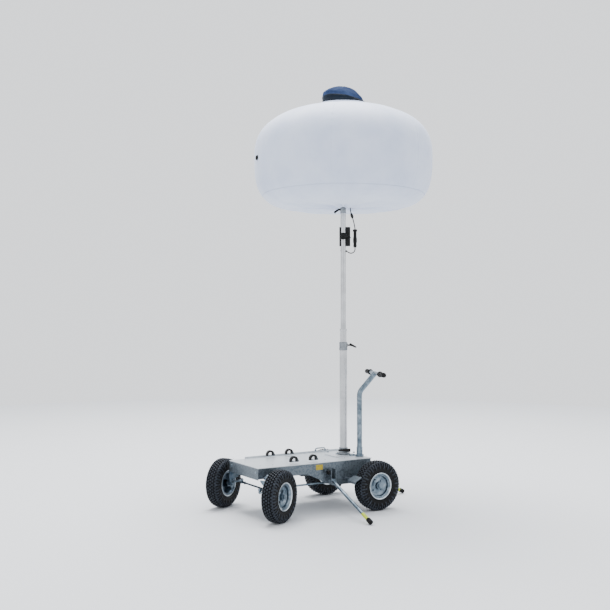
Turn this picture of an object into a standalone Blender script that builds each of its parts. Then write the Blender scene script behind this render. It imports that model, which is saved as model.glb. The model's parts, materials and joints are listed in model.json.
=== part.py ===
"""LED lighting balloon on a steerable hand trolley with a telescopic mast.

Metres, +Z up. +X is the way the trolley is driven, towards the steered wheels,
and +Y is its left. The origin is on the ground under the middle of the outline.
"""
import math

import bmesh
import bpy
from mathutils import Vector

# Clearances
GAP = 0.0003            # between pieces that touch
RUN = 0.0006            # round a tube that slides in another
WELD = 0.001            # how far a piece reaches into the one it is welded to

# Trolley
MID_X = 0.18546         # middle of the wheelbase, ahead of the origin
WHEELBASE = 0.791
TRACK_HALF = 0.3205
FRONT_X = MID_X + WHEELBASE / 2
REAR_X = MID_X - WHEELBASE / 2
DECK_TOP = 0.331
DECK_SHEET = 0.0035
DECK_FRONT = MID_X + 0.447
DECK_REAR = MID_X - 0.436
DECK_HALF_WIDTH = 0.205
PANEL_OUT = 0.202       # outer face of a side panel
SHEET = 0.004           # side panels and front apron
APRON_LOW = 0.255
PANEL_LOW_FRONT = 0.262
PANEL_LOW_REAR = 0.172
PANEL_SLOPE_FRONT = MID_X + 0.070
PANEL_SLOPE_REAR = MID_X - 0.117
PANEL_CORNER = 0.012
AXLE_LUG_R = 0.028
REAR_APRON_X = MID_X - 0.430
REAR_SHEET = 0.003
ARM_NOTCH_Y = 0.108     # the rear apron is cut back for the tiller's arm
ARM_NOTCH_TOP = 0.222
UPSTAND = 0.013         # low fold along the top sheet's right edge
UPSTAND_SHEET = 0.003
UPSTAND_FRONT = MID_X + 0.330
PEDAL_IN = 0.280        # brake pedal ahead of a rear wheel, from the middle of the trolley
PEDAL_OUT = 0.368

# Wheels
TYRE_R = 0.165
TYRE_HALF = 0.050
RIM_LIP_R = 0.089
RIM_SEAT_R = 0.072
RIM_SEAT_HALF = 0.030
RIM_LIP_IN = 0.038
RIM_LIP_OUT = 0.0435
AXLE_Z = TYRE_R
AXLE_R = 0.010
SHOULDER_R = 0.014
NUT_R = 0.013
NUT_HEIGHT = 0.010
HUB_BORE = AXLE_R + 0.0005
HUB_R = 0.022
HUB_IN = 0.044          # hub's inner end from the wheel's middle
HUB_OUT = 0.032         # hub's outer end from the wheel's middle
TYRE_STEPS = 30
LUG_HEIGHT = 0.006
LUG_MARGIN = 0.0028     # half of the groove between two lugs

# Steering
KINGPIN_Y = 0.236
HUB_OFFSET = TRACK_HALF - KINGPIN_Y
STEER_REST = math.radians(30)
TILLER_REST = math.radians(-24)
KINGPIN_TOP = 0.283
KNUCKLE_TOP = 0.2677
FORK_IN = 0.014
FORK_OUT = 0.020
STEER_PLATE_LOW = 0.172
STEER_PLATE_HIGH = 0.180
TIE_ARM = 0.100
DRAG_ARM = 0.060
TILLER_ARM = DRAG_ARM * math.sin(STEER_REST) / -math.sin(TILLER_REST)
ARM_EYE_R = 0.010
TIE_ROD_Z = 0.160
DRAG_EYE_HIGH = 0.2003
DRAG_ROD_Z = 0.1915

# Tiller
TILLER_X = MID_X - 0.403
TILLER_Y = 0.108
TILLER_R = 0.018
TILLER_HOLE_R = 0.0215
TILLER_BOSS_TOP = 0.396
TILLER_BOSS_LOW = 0.250
TILLER_BEND_Z = 0.775
TILLER_BEND_R = 0.070
TILLER_REACH = 0.111
TILLER_BAR_Z = 0.906
TILLER_BAR_HALF = 0.280
TILLER_BAR_R = 0.0125
GRIP_LENGTH = 0.125

# Mast
MAST_X = MID_X - 0.341
LOWER_R = 0.026
LOWER_BORE = 0.0235
MIDDLE_R = 0.0225
MIDDLE_BORE = 0.0195
UPPER_R = 0.0185
UPPER_BORE = 0.0160
SOCKET_FLOOR = 0.190
SOCKET_R = 0.0305
SOCKET_TOP = 0.385
MAST_HOLE_R = 0.0309
BASE_PLATE_TOP = DECK_TOP + 0.006
LOWER_TOP = 1.065
COLLAR_TOP = 1.122
MIDDLE_LOW = 0.360
MIDDLE_TOP = 1.215
UPPER_LOW = 1.060
LEVER_R = 0.0055
FOOT_LEVER_Z = 0.370

# Balloon, whose radius goes with cos ** ACROSS and height with sin ** ALONG
BALLOON_R = 0.627
BALLOON_TOP = 2.775
BALLOON_MID = 2.410
BALLOON_LOW = 2.070
TOP_ACROSS = 0.90
TOP_ALONG = 0.73
LOW_ACROSS = 0.27
LOW_ALONG = 0.75
BALLOON_ROWS = 8
ENVELOPE_WALL = 0.010
NECK_R = 0.030
COLLAR_LOW = 2.030
COLLAR_R = 0.0205
RING_R = 0.176
RING_BORE = 0.060
RING_HIGH = 0.012
HOOD_CAGE_R = 0.156
HOOD_SHOULDER_R = 0.152
HOOD_SHOULDER = 0.098
HOOD_CROWN_IN = 0.068   # the crown's edge from the shoulder's
HOOD_CROWN = 0.054      # the crown above the shoulder
HOOD_SLUMP = 0.16       # how much lower the hood lies on one side
LAMP_R = 0.100
LAMP_LOW = 2.180
LAMP_HIGH = 2.480

# Outriggers
LEG_PITCH = math.radians(24.3)
LEG_PIVOT_Z = 0.212
LEG_PIVOT_OUT = 0.034   # pivot from the face that the bracket sits on
LEG_R = 0.0110
LEG_EYE_R = 0.0150
FOOT_R = 0.016
FOOT_LENGTH = 0.045
FOOT_SOCKET = 0.004     # how much of the tube the foot hides
BRACKET_HALF = 0.0195
BRACKET_SHEET = 0.004
BRACKET_DEPTH = 0.052
BRACKET_LOW = 0.190
BRACKET_HIGH = 0.288
KNOB_Z = 0.266
SIDE_LEG_X = MID_X - 0.093
REAR_LEG_Y = -0.040

# Direction from the mast to its cable and clamps, seen from above
CABLE_TURN = math.radians(148.4)
CABLE_R = 0.0035
CABLE_STUB = 0.004      # straight part at each end of a cable
GLAND_OUT = 0.0265      # outer end of the gland where the cable enters the mast
GLAND_R = 0.0070
GLAND_Z = 1.7596
GLAND_TILT = math.radians(30)
LOOP_R = 0.0285         # the lead's bend under its plug
LOOP_Z = 1.776
JOINT_R = 0.0100
PLUG_OUT = 0.0835
PLUG_TOP = 1.916
PLUG_LOW = 1.789
HOLDER_LOW = 1.798
HOLDER_HIGH = 1.932
HOLDER_IN = 0.0190      # inner faces of the cable's bracket from the mast's middle
HOLDER_WALL = 0.0035
HOLDER_OUT = 0.0495     # outer face of its thick side
HOLDER_KNOB_R = 0.021

# Deck fittings
CLAMP_ROWS = (("front", MID_X + 0.153), ("rear", MID_X + 0.003))
CLAMP_Y = 0.158
CLAMP_WIDTH = 0.022
BAIL_X = MID_X - 0.260
BAIL_Y = -0.175
BAIL_HALF = 0.040
BAIL_HEIGHT = 0.034
BAIL_R = 0.0035
LATCH_X = MID_X - 0.320
LATCH_Y = 0.137

# Number of sides of round pieces
SMALL_SIDES = 16
TURN_STEPS = 24
HOLE_SIDES = 32
ENVELOPE_STEPS = 32

FINISHES = {
    "galvanised": ("#c9cdd2", 0.45, 0.85),
    "zinc": ("#b9c3cc", 0.35, 0.90),
    "aluminium": ("#c4c6c8", 0.40, 0.90),
    "rubber": ("#17181a", 0.85, 0.0),
    "black_plastic": ("#101113", 0.50, 0.0),
    "fabric": ("#e3e8f2", 0.80, 0.0),
    "blue_fabric": ("#28406f", 0.85, 0.0),
    "led": ("#e8e8e0", 0.50, 0.2),
}


def linear(hex_colour):
    """Linear RGB of an sRGB hex colour."""
    values = [int(hex_colour[i:i + 2], 16) / 255 for i in (1, 3, 5)]
    return [v / 12.92 if v <= 0.04045 else ((v + 0.055) / 1.055) ** 2.4 for v in values]


def make_material(name, finish):
    """A Principled material of its own for one piece."""
    colour, roughness, metallic = FINISHES[finish]
    material = bpy.data.materials.new(name)
    material.use_nodes = True
    shader = material.node_tree.nodes["Principled BSDF"]
    shader.inputs["Base Color"].default_value = (*linear(colour), 1)
    shader.inputs["Roughness"].default_value = roughness
    shader.inputs["Metallic"].default_value = metallic
    return material


def start():
    """Empty the scene and add the two collections."""
    for obj in list(bpy.data.objects):
        bpy.data.objects.remove(obj, do_unlink=True)
    groups = []
    for name in ("led_balloon", "cutters"):
        group = bpy.data.collections.new(name)
        bpy.context.scene.collection.children.link(group)
        groups.append(group)
    return groups


PARTS, CUTTERS = start()


# Shapes

def place(name, data, parent, finish, location=(0, 0, 0), rotation=(0, 0, 0)):
    """Add one piece to the model, in its parent's frame."""
    obj = bpy.data.objects.new(name, data)
    PARTS.objects.link(obj)
    obj.parent = parent
    obj.location = location
    obj.rotation_euler = rotation
    if finish:
        data.materials.clear()
        data.materials.append(make_material(name, finish))
    return obj


def body(name, parent=None, location=(0, 0, 0), turn=0.0):
    """An empty that carries the pieces of one moving body, on its joint's axis."""
    empty = bpy.data.objects.new(name, None)
    PARTS.objects.link(empty)
    empty.parent = parent
    empty.location = location
    empty.rotation_euler = (0, 0, turn)
    empty.empty_display_size = 0.05
    return empty


def box(name, low, high, parent, finish):
    """A block between two corners."""
    mesh = bpy.data.meshes.new(name)
    bm = bmesh.new()
    bmesh.ops.create_cube(bm, size=1)
    bmesh.ops.scale(bm, vec=Vector(high) - Vector(low), verts=bm.verts)
    bmesh.ops.translate(bm, vec=(Vector(high) + Vector(low)) / 2, verts=bm.verts)
    bm.to_mesh(mesh)
    bm.free()
    return place(name, mesh, parent, finish)


def rod(name, begin, end, radius, parent, finish, sides=20, end_radius=None):
    """A round bar from one point to another."""
    begin, end = Vector(begin), Vector(end)
    mesh = bpy.data.meshes.new(name)
    bm = bmesh.new()
    bmesh.ops.create_cone(bm, cap_ends=True, segments=sides, radius1=radius,
                          radius2=end_radius or radius, depth=(end - begin).length)
    turn = (end - begin).to_track_quat("Z", "Y")
    bmesh.ops.rotate(bm, matrix=turn.to_matrix(), verts=bm.verts)
    bmesh.ops.translate(bm, vec=(begin + end) / 2, verts=bm.verts)
    bm.to_mesh(mesh)
    bm.free()
    mesh.shade_smooth()
    mesh.set_sharp_from_angle(angle=math.radians(40))
    return place(name, mesh, parent, finish)


def turned(name, profile, parent, finish, location=(0, 0, 0), rotation=(0, 0, 0),
           steps=TURN_STEPS, ring=False):
    """A profile of (radius, height) points, top to bottom, turned about Z."""
    mesh = bpy.data.meshes.new(name)
    bm = bmesh.new()
    points = [bm.verts.new((r, 0, z)) for r, z in profile]
    for a, b in zip(points, points[1:]):
        bm.edges.new((a, b))
    if ring:
        bm.edges.new((points[-1], points[0]))
    bm.to_mesh(mesh)
    bm.free()
    obj = place(name, mesh, parent, finish, location, rotation)
    screw = obj.modifiers.new("turn", "SCREW")
    screw.axis = "Z"
    screw.steps = steps
    screw.render_steps = steps
    screw.use_merge_vertices = True
    screw.merge_threshold = 0.00002
    screw.use_smooth_shade = True
    return obj


def plate(name, outline, thickness, parent, finish, location=(0, 0, 0), rotation=(0, 0, 0)):
    """A flat plate of a given outline, its thickness centred on its plane."""
    curve = bpy.data.curves.new(name, "CURVE")
    curve.dimensions = "2D"
    curve.fill_mode = "BOTH"
    curve.extrude = thickness / 2
    spline = curve.splines.new("POLY")
    spline.points.add(len(outline) - 1)
    for point, (x, y) in zip(spline.points, outline):
        point.co = (x, y, 0, 1)
    spline.use_cyclic_u = True
    return place(name, curve, parent, finish, location, rotation)


def pipe(name, points, radius, parent, finish, resolution=2, location=(0, 0, 0)):
    """A round bar or cable along a path."""
    curve = bpy.data.curves.new(name, "CURVE")
    curve.dimensions = "3D"
    curve.bevel_depth = radius
    curve.bevel_resolution = resolution
    curve.use_fill_caps = True
    spline = curve.splines.new("POLY")
    spline.points.add(len(points) - 1)
    for point, co in zip(spline.points, points):
        point.co = (*co, 1)
    return place(name, curve, parent, finish, location)


def arc(centre, radius, begin, end, count):
    """Points on an arc, angles in degrees."""
    angles = [math.radians(begin + (end - begin) * i / count) for i in range(count + 1)]
    return [(centre[0] + radius * math.cos(a), centre[1] + radius * math.sin(a)) for a in angles]


def to_mesh(obj):
    """The same piece as a mesh, with its caps welded."""
    bpy.context.view_layer.update()
    depsgraph = bpy.context.evaluated_depsgraph_get()
    mesh = bpy.data.meshes.new_from_object(obj.evaluated_get(depsgraph))
    bm = bmesh.new()
    bm.from_mesh(mesh)
    bmesh.ops.remove_doubles(bm, verts=bm.verts, dist=0.000002)
    bmesh.ops.recalc_face_normals(bm, faces=bm.faces)
    bm.to_mesh(mesh)
    bm.free()
    name, parent, world = obj.name, obj.parent, obj.matrix_world.copy()
    bpy.data.objects.remove(obj, do_unlink=True)
    solid = place(name, mesh, parent, None)
    bpy.context.view_layer.update()
    solid.matrix_world = world
    return solid


def combine(target, tools, operation):
    """Join other solids to a piece, or cut them from it."""
    if target.type == "CURVE":
        target = to_mesh(target)
    for tool in tools:
        if tool.type == "CURVE":
            tool = to_mesh(tool)
        PARTS.objects.unlink(tool)
        CUTTERS.objects.link(tool)
        tool.hide_render = True
        tool.display_type = "WIRE"
        change = target.modifiers.new(tool.name, "BOOLEAN")
        change.operation = operation
        change.object = tool
    return target


def unite(target, *tools):
    return combine(target, tools, "UNION")


def cut(target, *tools):
    return combine(target, tools, "DIFFERENCE")


# Deck

def round_hole(name, x, y, radius, chassis):
    """Cutter for a round hole down through the deck and what lies on it."""
    return rod(name, (x, y, DECK_TOP - 0.03), (x, y, DECK_TOP + 0.03), radius, chassis, None,
               sides=HOLE_SIDES)


def make_deck(chassis):
    """The folded sheet body: top sheet, two aprons and two side panels."""
    top = box("deck_plate", (DECK_REAR, -DECK_HALF_WIDTH, DECK_TOP - DECK_SHEET),
              (DECK_FRONT, DECK_HALF_WIDTH, DECK_TOP), chassis, "galvanised")
    cut(top, round_hole("deck_mast_hole", MAST_X, 0, MAST_HOLE_R, chassis),
        round_hole("deck_tiller_hole", TILLER_X, TILLER_Y, TILLER_HOLE_R, chassis))
    unite(top, box("deck_upstand", (DECK_REAR, -DECK_HALF_WIDTH, DECK_TOP - WELD),
                   (UPSTAND_FRONT, -DECK_HALF_WIDTH + UPSTAND_SHEET, DECK_TOP + UPSTAND), chassis, None))
    under = DECK_TOP - DECK_SHEET - GAP
    inside = PANEL_OUT - SHEET - GAP
    box("front_apron", (DECK_FRONT - SHEET, -inside, APRON_LOW),
        (DECK_FRONT, inside, under), chassis, "galvanised")
    apron = [(-inside, PANEL_LOW_REAR), (ARM_NOTCH_Y, PANEL_LOW_REAR), (ARM_NOTCH_Y, ARM_NOTCH_TOP),
             (inside, ARM_NOTCH_TOP), (inside, under), (-inside, under)]
    plate("rear_apron", apron, REAR_SHEET, chassis, "galvanised",
          (REAR_APRON_X + REAR_SHEET / 2, 0, 0), (math.pi / 2, 0, math.pi / 2))
    for side, name in ((1, "left"), (-1, "right")):
        make_side_panel(chassis, side, name, under)


def make_side_panel(chassis, side, name, top):
    """Side panel, deep at the rear for the axle, with the brake pedal welded to it."""
    outline = [(DECK_FRONT, top), (REAR_APRON_X, top)]
    outline += arc((REAR_APRON_X + PANEL_CORNER, PANEL_LOW_REAR - 0.007 + PANEL_CORNER),
                   PANEL_CORNER, 180, 250, 3)
    outline += arc((REAR_X, AXLE_Z), AXLE_LUG_R, 215, 345, 7)
    outline += [(REAR_X + AXLE_LUG_R + 0.012, PANEL_LOW_REAR)]
    outline += [(PANEL_SLOPE_REAR, PANEL_LOW_REAR), (PANEL_SLOPE_FRONT - 0.004, PANEL_LOW_FRONT - 0.006)]
    outline += [(PANEL_SLOPE_FRONT + 0.008, PANEL_LOW_FRONT), (DECK_FRONT, PANEL_LOW_FRONT)]
    middle = side * (PANEL_OUT - SHEET / 2)
    panel = plate("side_panel_" + name, outline, SHEET, chassis, "galvanised",
                  (0, middle, 0), (math.pi / 2, 0, 0))
    hole = rod("axle_hole_" + name, (REAR_X, middle - 0.02, AXLE_Z),
               (REAR_X, middle + 0.02, AXLE_Z), AXLE_R + GAP, chassis, None)
    panel = cut(panel, hole)
    unite(panel, *brake_pedal(chassis, side, name))


def brake_pedal(chassis, side, name):
    """Bent pedal ahead of the rear tyre, on an arm from the side panel."""
    tread = [(-0.183, 0.196), (-0.183, 0.210), (-0.236, 0.239), (-0.236, 0.2345), (-0.187, 0.2075),
             (-0.187, 0.196)]
    pedal = plate("pedal_" + name, [(MID_X + x, z) for x, z in tread], PEDAL_OUT - PEDAL_IN,
                  chassis, None, (0, side * (PEDAL_IN + PEDAL_OUT) / 2, 0), (math.pi / 2, 0, 0))
    begin, end = sorted((side * (PANEL_OUT - WELD), side * (PEDAL_IN + 0.004)))
    arm = box("pedal_arm_" + name, (MID_X - 0.222, begin, 0.212), (MID_X - 0.198, end, 0.222),
              chassis, None)
    return [arm, pedal]


def make_rear_axle(chassis):
    """One bar through both side panels, with shoulders and end nuts."""
    end = TRACK_HALF + HUB_OUT + GAP
    shoulder = TRACK_HALF - HUB_IN - GAP
    half = [(0, end + NUT_HEIGHT), (NUT_R, end + NUT_HEIGHT), (NUT_R, end), (AXLE_R, end),
            (AXLE_R, shoulder), (SHOULDER_R, shoulder), (SHOULDER_R, PANEL_OUT + GAP),
            (AXLE_R, PANEL_OUT + GAP)]
    mirrored = [(r, -z) for r, z in reversed(half)]
    turned("rear_axle", half + mirrored, chassis, "zinc", (REAR_X, 0, AXLE_Z),
           (-math.pi / 2, 0, 0), steps=18)


# Wheels

def wheel(name, parent, side, location):
    """Tyre and rim, turned about the axle; side 1 faces left, -1 right."""
    centre = body("wheel_" + name, parent, location)
    turn = (-math.pi / 2 * side, 0, 0)
    well = RIM_LIP_R - 0.005
    rim = [(HUB_BORE, HUB_OUT), (HUB_R, HUB_OUT), (HUB_R, 0.006), (0.056, 0.006),
           (0.066, 0.014), (0.066, 0.033), (well, RIM_LIP_OUT), (RIM_LIP_R, RIM_LIP_OUT),
           (RIM_LIP_R, RIM_LIP_IN), (RIM_SEAT_R, RIM_SEAT_HALF), (RIM_SEAT_R, -RIM_SEAT_HALF),
           (RIM_LIP_R, -RIM_LIP_IN), (RIM_LIP_R, -RIM_LIP_OUT), (well, -RIM_LIP_OUT),
           (0.066, -0.033), (0.066, 0.008), (0.056, 0.000), (HUB_R, 0.000), (HUB_R, -HUB_IN),
           (HUB_BORE, -HUB_IN)]
    turned("rim_" + name, rim, centre, "zinc", rotation=turn, ring=True)
    place("tyre_" + name, tyre_mesh(name), centre, "rubber", rotation=turn)


def tyre_mesh(name):
    """Block-tread tyre: a turned ring whose three rows of tread faces rise into lugs."""
    seat = 0.0005
    lean = (RIM_LIP_IN - RIM_SEAT_HALF) / (RIM_LIP_R - RIM_SEAT_R)
    bead = RIM_LIP_R + seat
    crown = TYRE_R - LUG_HEIGHT
    shoulder = (crown - 0.0045, 0.040)
    outer = [(bead, RIM_LIP_IN - seat), (bead, RIM_LIP_OUT + 0.002), (0.128, TYRE_HALF),
             shoulder, (crown, 0.014)]
    inner = (RIM_SEAT_R + seat, RIM_SEAT_HALF - seat - lean * seat)
    scale = 1 / math.cos(math.pi / TYRE_STEPS)
    half = [(inner[0], inner[1])] + [(r * scale, z) for r, z in outer]
    profile = half + [(r, -z) for r, z in reversed(half)]
    mesh = bpy.data.meshes.new("tyre_" + name)
    bm = bmesh.new()
    points = [bm.verts.new((r, 0, z)) for r, z in profile]
    edges = [bm.edges.new(pair) for pair in zip(points, points[1:] + points[:1])]
    bmesh.ops.spin(bm, geom=points + edges, cent=(0, 0, 0), axis=(0, 0, 1),
                   angle=2 * math.pi, steps=TYRE_STEPS, use_merge=True)
    bmesh.ops.remove_doubles(bm, verts=bm.verts, dist=0.00001)
    bmesh.ops.recalc_face_normals(bm, faces=bm.faces)
    tread = [f for f in bm.faces if f.calc_center_median().xy.length > shoulder[0]]
    bmesh.ops.inset_individual(bm, faces=tread, thickness=LUG_MARGIN, depth=LUG_HEIGHT)
    bm.to_mesh(mesh)
    bm.free()
    return mesh


# Steering

def make_kingpin_housing(chassis, side, name):
    """The bearing that a front knuckle turns in, on its web."""
    low = KNUCKLE_TOP + GAP
    y = side * KINGPIN_Y
    housing = rod("kingpin_housing_" + name, (FRONT_X, y, low), (FRONT_X, y, KINGPIN_TOP),
                  0.020, chassis, "zinc")
    begin, end = sorted((side * (PANEL_OUT + GAP), y))
    web = box("kingpin_web_" + name, (FRONT_X - 0.016, begin, low + WELD),
              (FRONT_X + 0.016, end, KINGPIN_TOP - WELD), chassis, None)
    unite(housing, web)


def make_knuckle(knuckle, side, name):
    """Half fork with its inner web, stub axle and steering arms, in the knuckle's own frame."""
    top_half, low_radius, narrow_z = 0.034, 0.027, 0.225
    outline = [(top_half, KNUCKLE_TOP), (-top_half, KNUCKLE_TOP), (-top_half, narrow_z)]
    outline += arc((0, AXLE_Z), low_radius, 180, 360, 10)
    outline += [(top_half, narrow_z)]
    fork = plate("knuckle_" + name, outline, FORK_OUT - FORK_IN, knuckle, "zinc",
                 (0, side * (FORK_IN + FORK_OUT) / 2, 0), (math.pi / 2, 0, 0))
    shoulder = HUB_OFFSET - HUB_IN - GAP
    end = HUB_OFFSET + HUB_OUT + GAP
    stub = [(0, end + NUT_HEIGHT), (NUT_R, end + NUT_HEIGHT), (NUT_R, end), (AXLE_R, end),
            (AXLE_R, shoulder), (SHOULDER_R, shoulder), (SHOULDER_R, FORK_IN - 0.010),
            (0, FORK_IN - 0.010)]
    axle = turned("stub_axle_" + name, stub, knuckle, None, (0, 0, AXLE_Z),
                  (-side * math.pi / 2, 0, 0), steps=18)
    begin, end = sorted((-side * 0.018, side * (FORK_IN + WELD)))
    head = box("knuckle_head_" + name, (-0.020, begin, KNUCKLE_TOP - 0.008),
               (0.020, end, KNUCKLE_TOP - 0.0001), knuckle, None)
    web = [(-0.056, 0.252), (-0.020, 0.252), (-0.016, 0.2605), (FORK_IN + WELD, 0.2605),
           (FORK_IN + WELD, 0.186), (-0.030, 0.215), (-0.056, 0.244)]
    brace = plate("knuckle_web_" + name, [(side * out, z) for out, z in web], 0.006, knuckle, None,
                  (0, 0, 0), (math.pi / 2, 0, math.pi / 2))
    unite(fork, axle, head, brace, *steering_arms(knuckle, side, name))


def steering_arms(knuckle, side, name):
    """The arm for the tie rod, and on the left one more for the drag link."""
    middle = (STEER_PLATE_LOW + STEER_PLATE_HIGH) / 2
    thick = STEER_PLATE_HIGH - STEER_PLATE_LOW
    eye, root = 0.011, FORK_IN + 0.0005
    tie = [(0.018, side * root), (0.018, -side * eye), (-TIE_ARM, -side * eye)]
    tie += [(x, side * y) for x, y in arc((-TIE_ARM, 0), eye, 250, 110, 8)]
    tie += [(-0.020, side * root)]
    arms = [plate("tie_arm_" + name, tie, thick, knuckle, None, (0, 0, middle))]
    if side > 0:
        drag = [(-ARM_EYE_R, 0.0), (-ARM_EYE_R, -DRAG_ARM)]
        drag += arc((0, -DRAG_ARM), ARM_EYE_R, 190, 350, 8)
        drag += [(ARM_EYE_R, 0.0)]
        arms.append(plate("drag_arm", drag, thick - 0.0002, knuckle, None, (0, 0, middle)))
    return arms


def arm_point(side, along, out):
    """World point of a front knuckle's own (along, out) place at rest."""
    c, s = math.cos(STEER_REST), math.sin(STEER_REST)
    return (FRONT_X + along * c - out * s, side * KINGPIN_Y + along * s + out * c)


def make_tie_rod(tie):
    """Track rod between the knuckles' rear arms, with an eye under each arm."""
    length = 2 * KINGPIN_Y
    bar = rod("tie_rod", (0, 0, TIE_ROD_Z), (0, -length, TIE_ROD_Z), 0.0065, tie, "zinc",
              sides=SMALL_SIDES)
    eyes = [rod(f"tie_eye_{number}", (0, y, TIE_ROD_Z - 0.010), (0, y, STEER_PLATE_LOW - GAP),
                0.012, tie, None, sides=SMALL_SIDES) for number, y in enumerate((0, -length))]
    unite(bar, *eyes)


def make_drag_link(drag, span):
    """Rod from the tiller's arm forward to the left knuckle."""
    bar = rod("drag_link", (0, 0, DRAG_ROD_Z), (span[0], span[1], DRAG_ROD_Z), 0.006, drag,
              "zinc", sides=SMALL_SIDES)
    eyes = [rod(f"drag_eye_{number}", (x, y, STEER_PLATE_HIGH + GAP), (x, y, DRAG_EYE_HIGH), 0.009,
                drag, None, sides=SMALL_SIDES) for number, (x, y) in enumerate(((0, 0), span))]
    unite(bar, *eyes)


def make_tiller(tiller, chassis):
    """Boss on the deck, and the tiller with its lower arm and cross bar."""
    bore, tube_r, flange_r = TILLER_R + GAP, 0.0210, 0.0310
    boss = [(bore, TILLER_BOSS_TOP), (tube_r, TILLER_BOSS_TOP), (tube_r, 0.340),
            (flange_r, 0.337), (flange_r, DECK_TOP + GAP), (tube_r, DECK_TOP + GAP),
            (tube_r, TILLER_BOSS_LOW), (bore, TILLER_BOSS_LOW)]
    turned("tiller_boss", boss, chassis, "zinc", (TILLER_X, TILLER_Y, 0), ring=True)
    low = DRAG_EYE_HIGH + GAP
    points = [(0, 0, low)] + [(a, 0, b) for a, b in tiller_bend()]
    points += [(-TILLER_REACH, 0, TILLER_BAR_Z)]
    tube = pipe("tiller_tube", points, TILLER_R, tiller, "zinc", resolution=4)
    half = TILLER_BAR_HALF - 0.002
    bar = rod("tiller_bar", (-TILLER_REACH, -half, TILLER_BAR_Z),
              (-TILLER_REACH, half, TILLER_BAR_Z), TILLER_BAR_R, tiller, None)
    arm_line = [(-0.016, 0.0), (-ARM_EYE_R, TILLER_ARM)]
    arm_line += arc((0, TILLER_ARM), ARM_EYE_R, 170, 10, 8)
    arm_line += [(ARM_EYE_R, TILLER_ARM), (0.016, 0.0)]
    arm = plate("tiller_arm", arm_line, 0.008, tiller, None, (0, 0, low + 0.0042))
    unite(tube, bar, arm)
    inner, outer = TILLER_BAR_HALF - GRIP_LENGTH, TILLER_BAR_HALF
    cap, collar = outer - 0.0017, inner + 0.006
    grip = [(0, outer), (0.0150, outer), (0.0165, outer - 0.003), (0.0165, collar),
            (0.0205, collar), (0.0205, inner), (TILLER_BAR_R + GAP, inner),
            (TILLER_BAR_R + GAP, cap), (0, cap)]
    for side, name in ((1, "left"), (-1, "right")):
        turned("tiller_grip_" + name, grip, tiller, "black_plastic",
               (-TILLER_REACH, 0, TILLER_BAR_Z), (-side * math.pi / 2, 0, 0), steps=20)


def tiller_bend():
    """The tiller's bend, as an arc between its upright and its sloping part."""
    slope = math.atan2(TILLER_REACH, TILLER_BAR_Z - TILLER_BEND_Z)
    begin = TILLER_BEND_Z - TILLER_BEND_R * math.tan(slope / 2)
    return arc((-TILLER_BEND_R, begin), TILLER_BEND_R, 0, math.degrees(slope), 5)


# Mast

def beside_mast(out, z):
    """A point beside the mast, on the side where its cable hangs."""
    return (MAST_X + out * math.cos(CABLE_TURN), out * math.sin(CABLE_TURN), z)


def before_mast(out, side, z):
    """A point in front of the mast's clamps, and to one side of it."""
    front = CABLE_TURN - math.pi / 2
    x = MAST_X + out * math.cos(front) + side * math.cos(CABLE_TURN)
    return (x, out * math.sin(front) + side * math.sin(CABLE_TURN), z)


def sleeve(inner, outer, low, high):
    """Profile of a plain tube."""
    return [(inner, high), (outer, high), (outer, low), (inner, low)]


def make_mast_foot(chassis):
    """Base plate, socket and foot lever."""
    base = box("mast_base_plate", (MAST_X - 0.060, -0.070, DECK_TOP + GAP),
               (MAST_X + 0.110, 0.070, BASE_PLATE_TOP), chassis, "galvanised")
    cut(base, round_hole("base_plate_hole", MAST_X, 0, MAST_HOLE_R, chassis))
    flange = BASE_PLATE_TOP + GAP
    bore = LOWER_R + GAP
    foot = [(0, SOCKET_FLOOR), (bore, SOCKET_FLOOR), (bore, SOCKET_TOP), (SOCKET_R, SOCKET_TOP),
            (0.0320, 0.355), (0.0400, flange + 0.006), (0.0460, flange + 0.005), (0.0460, flange),
            (SOCKET_R, flange), (SOCKET_R, SOCKET_FLOOR - 0.005), (0, SOCKET_FLOOR - 0.005)]
    turned("mast_foot", foot, chassis, "aluminium", (MAST_X, 0, 0))
    rod("mast_foot_lever", before_mast(0.0405, -0.040, FOOT_LEVER_Z),
        before_mast(0.0405, 0.049, FOOT_LEVER_Z), 0.006, chassis, "black_plastic",
        sides=12, end_radius=0.012)


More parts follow.
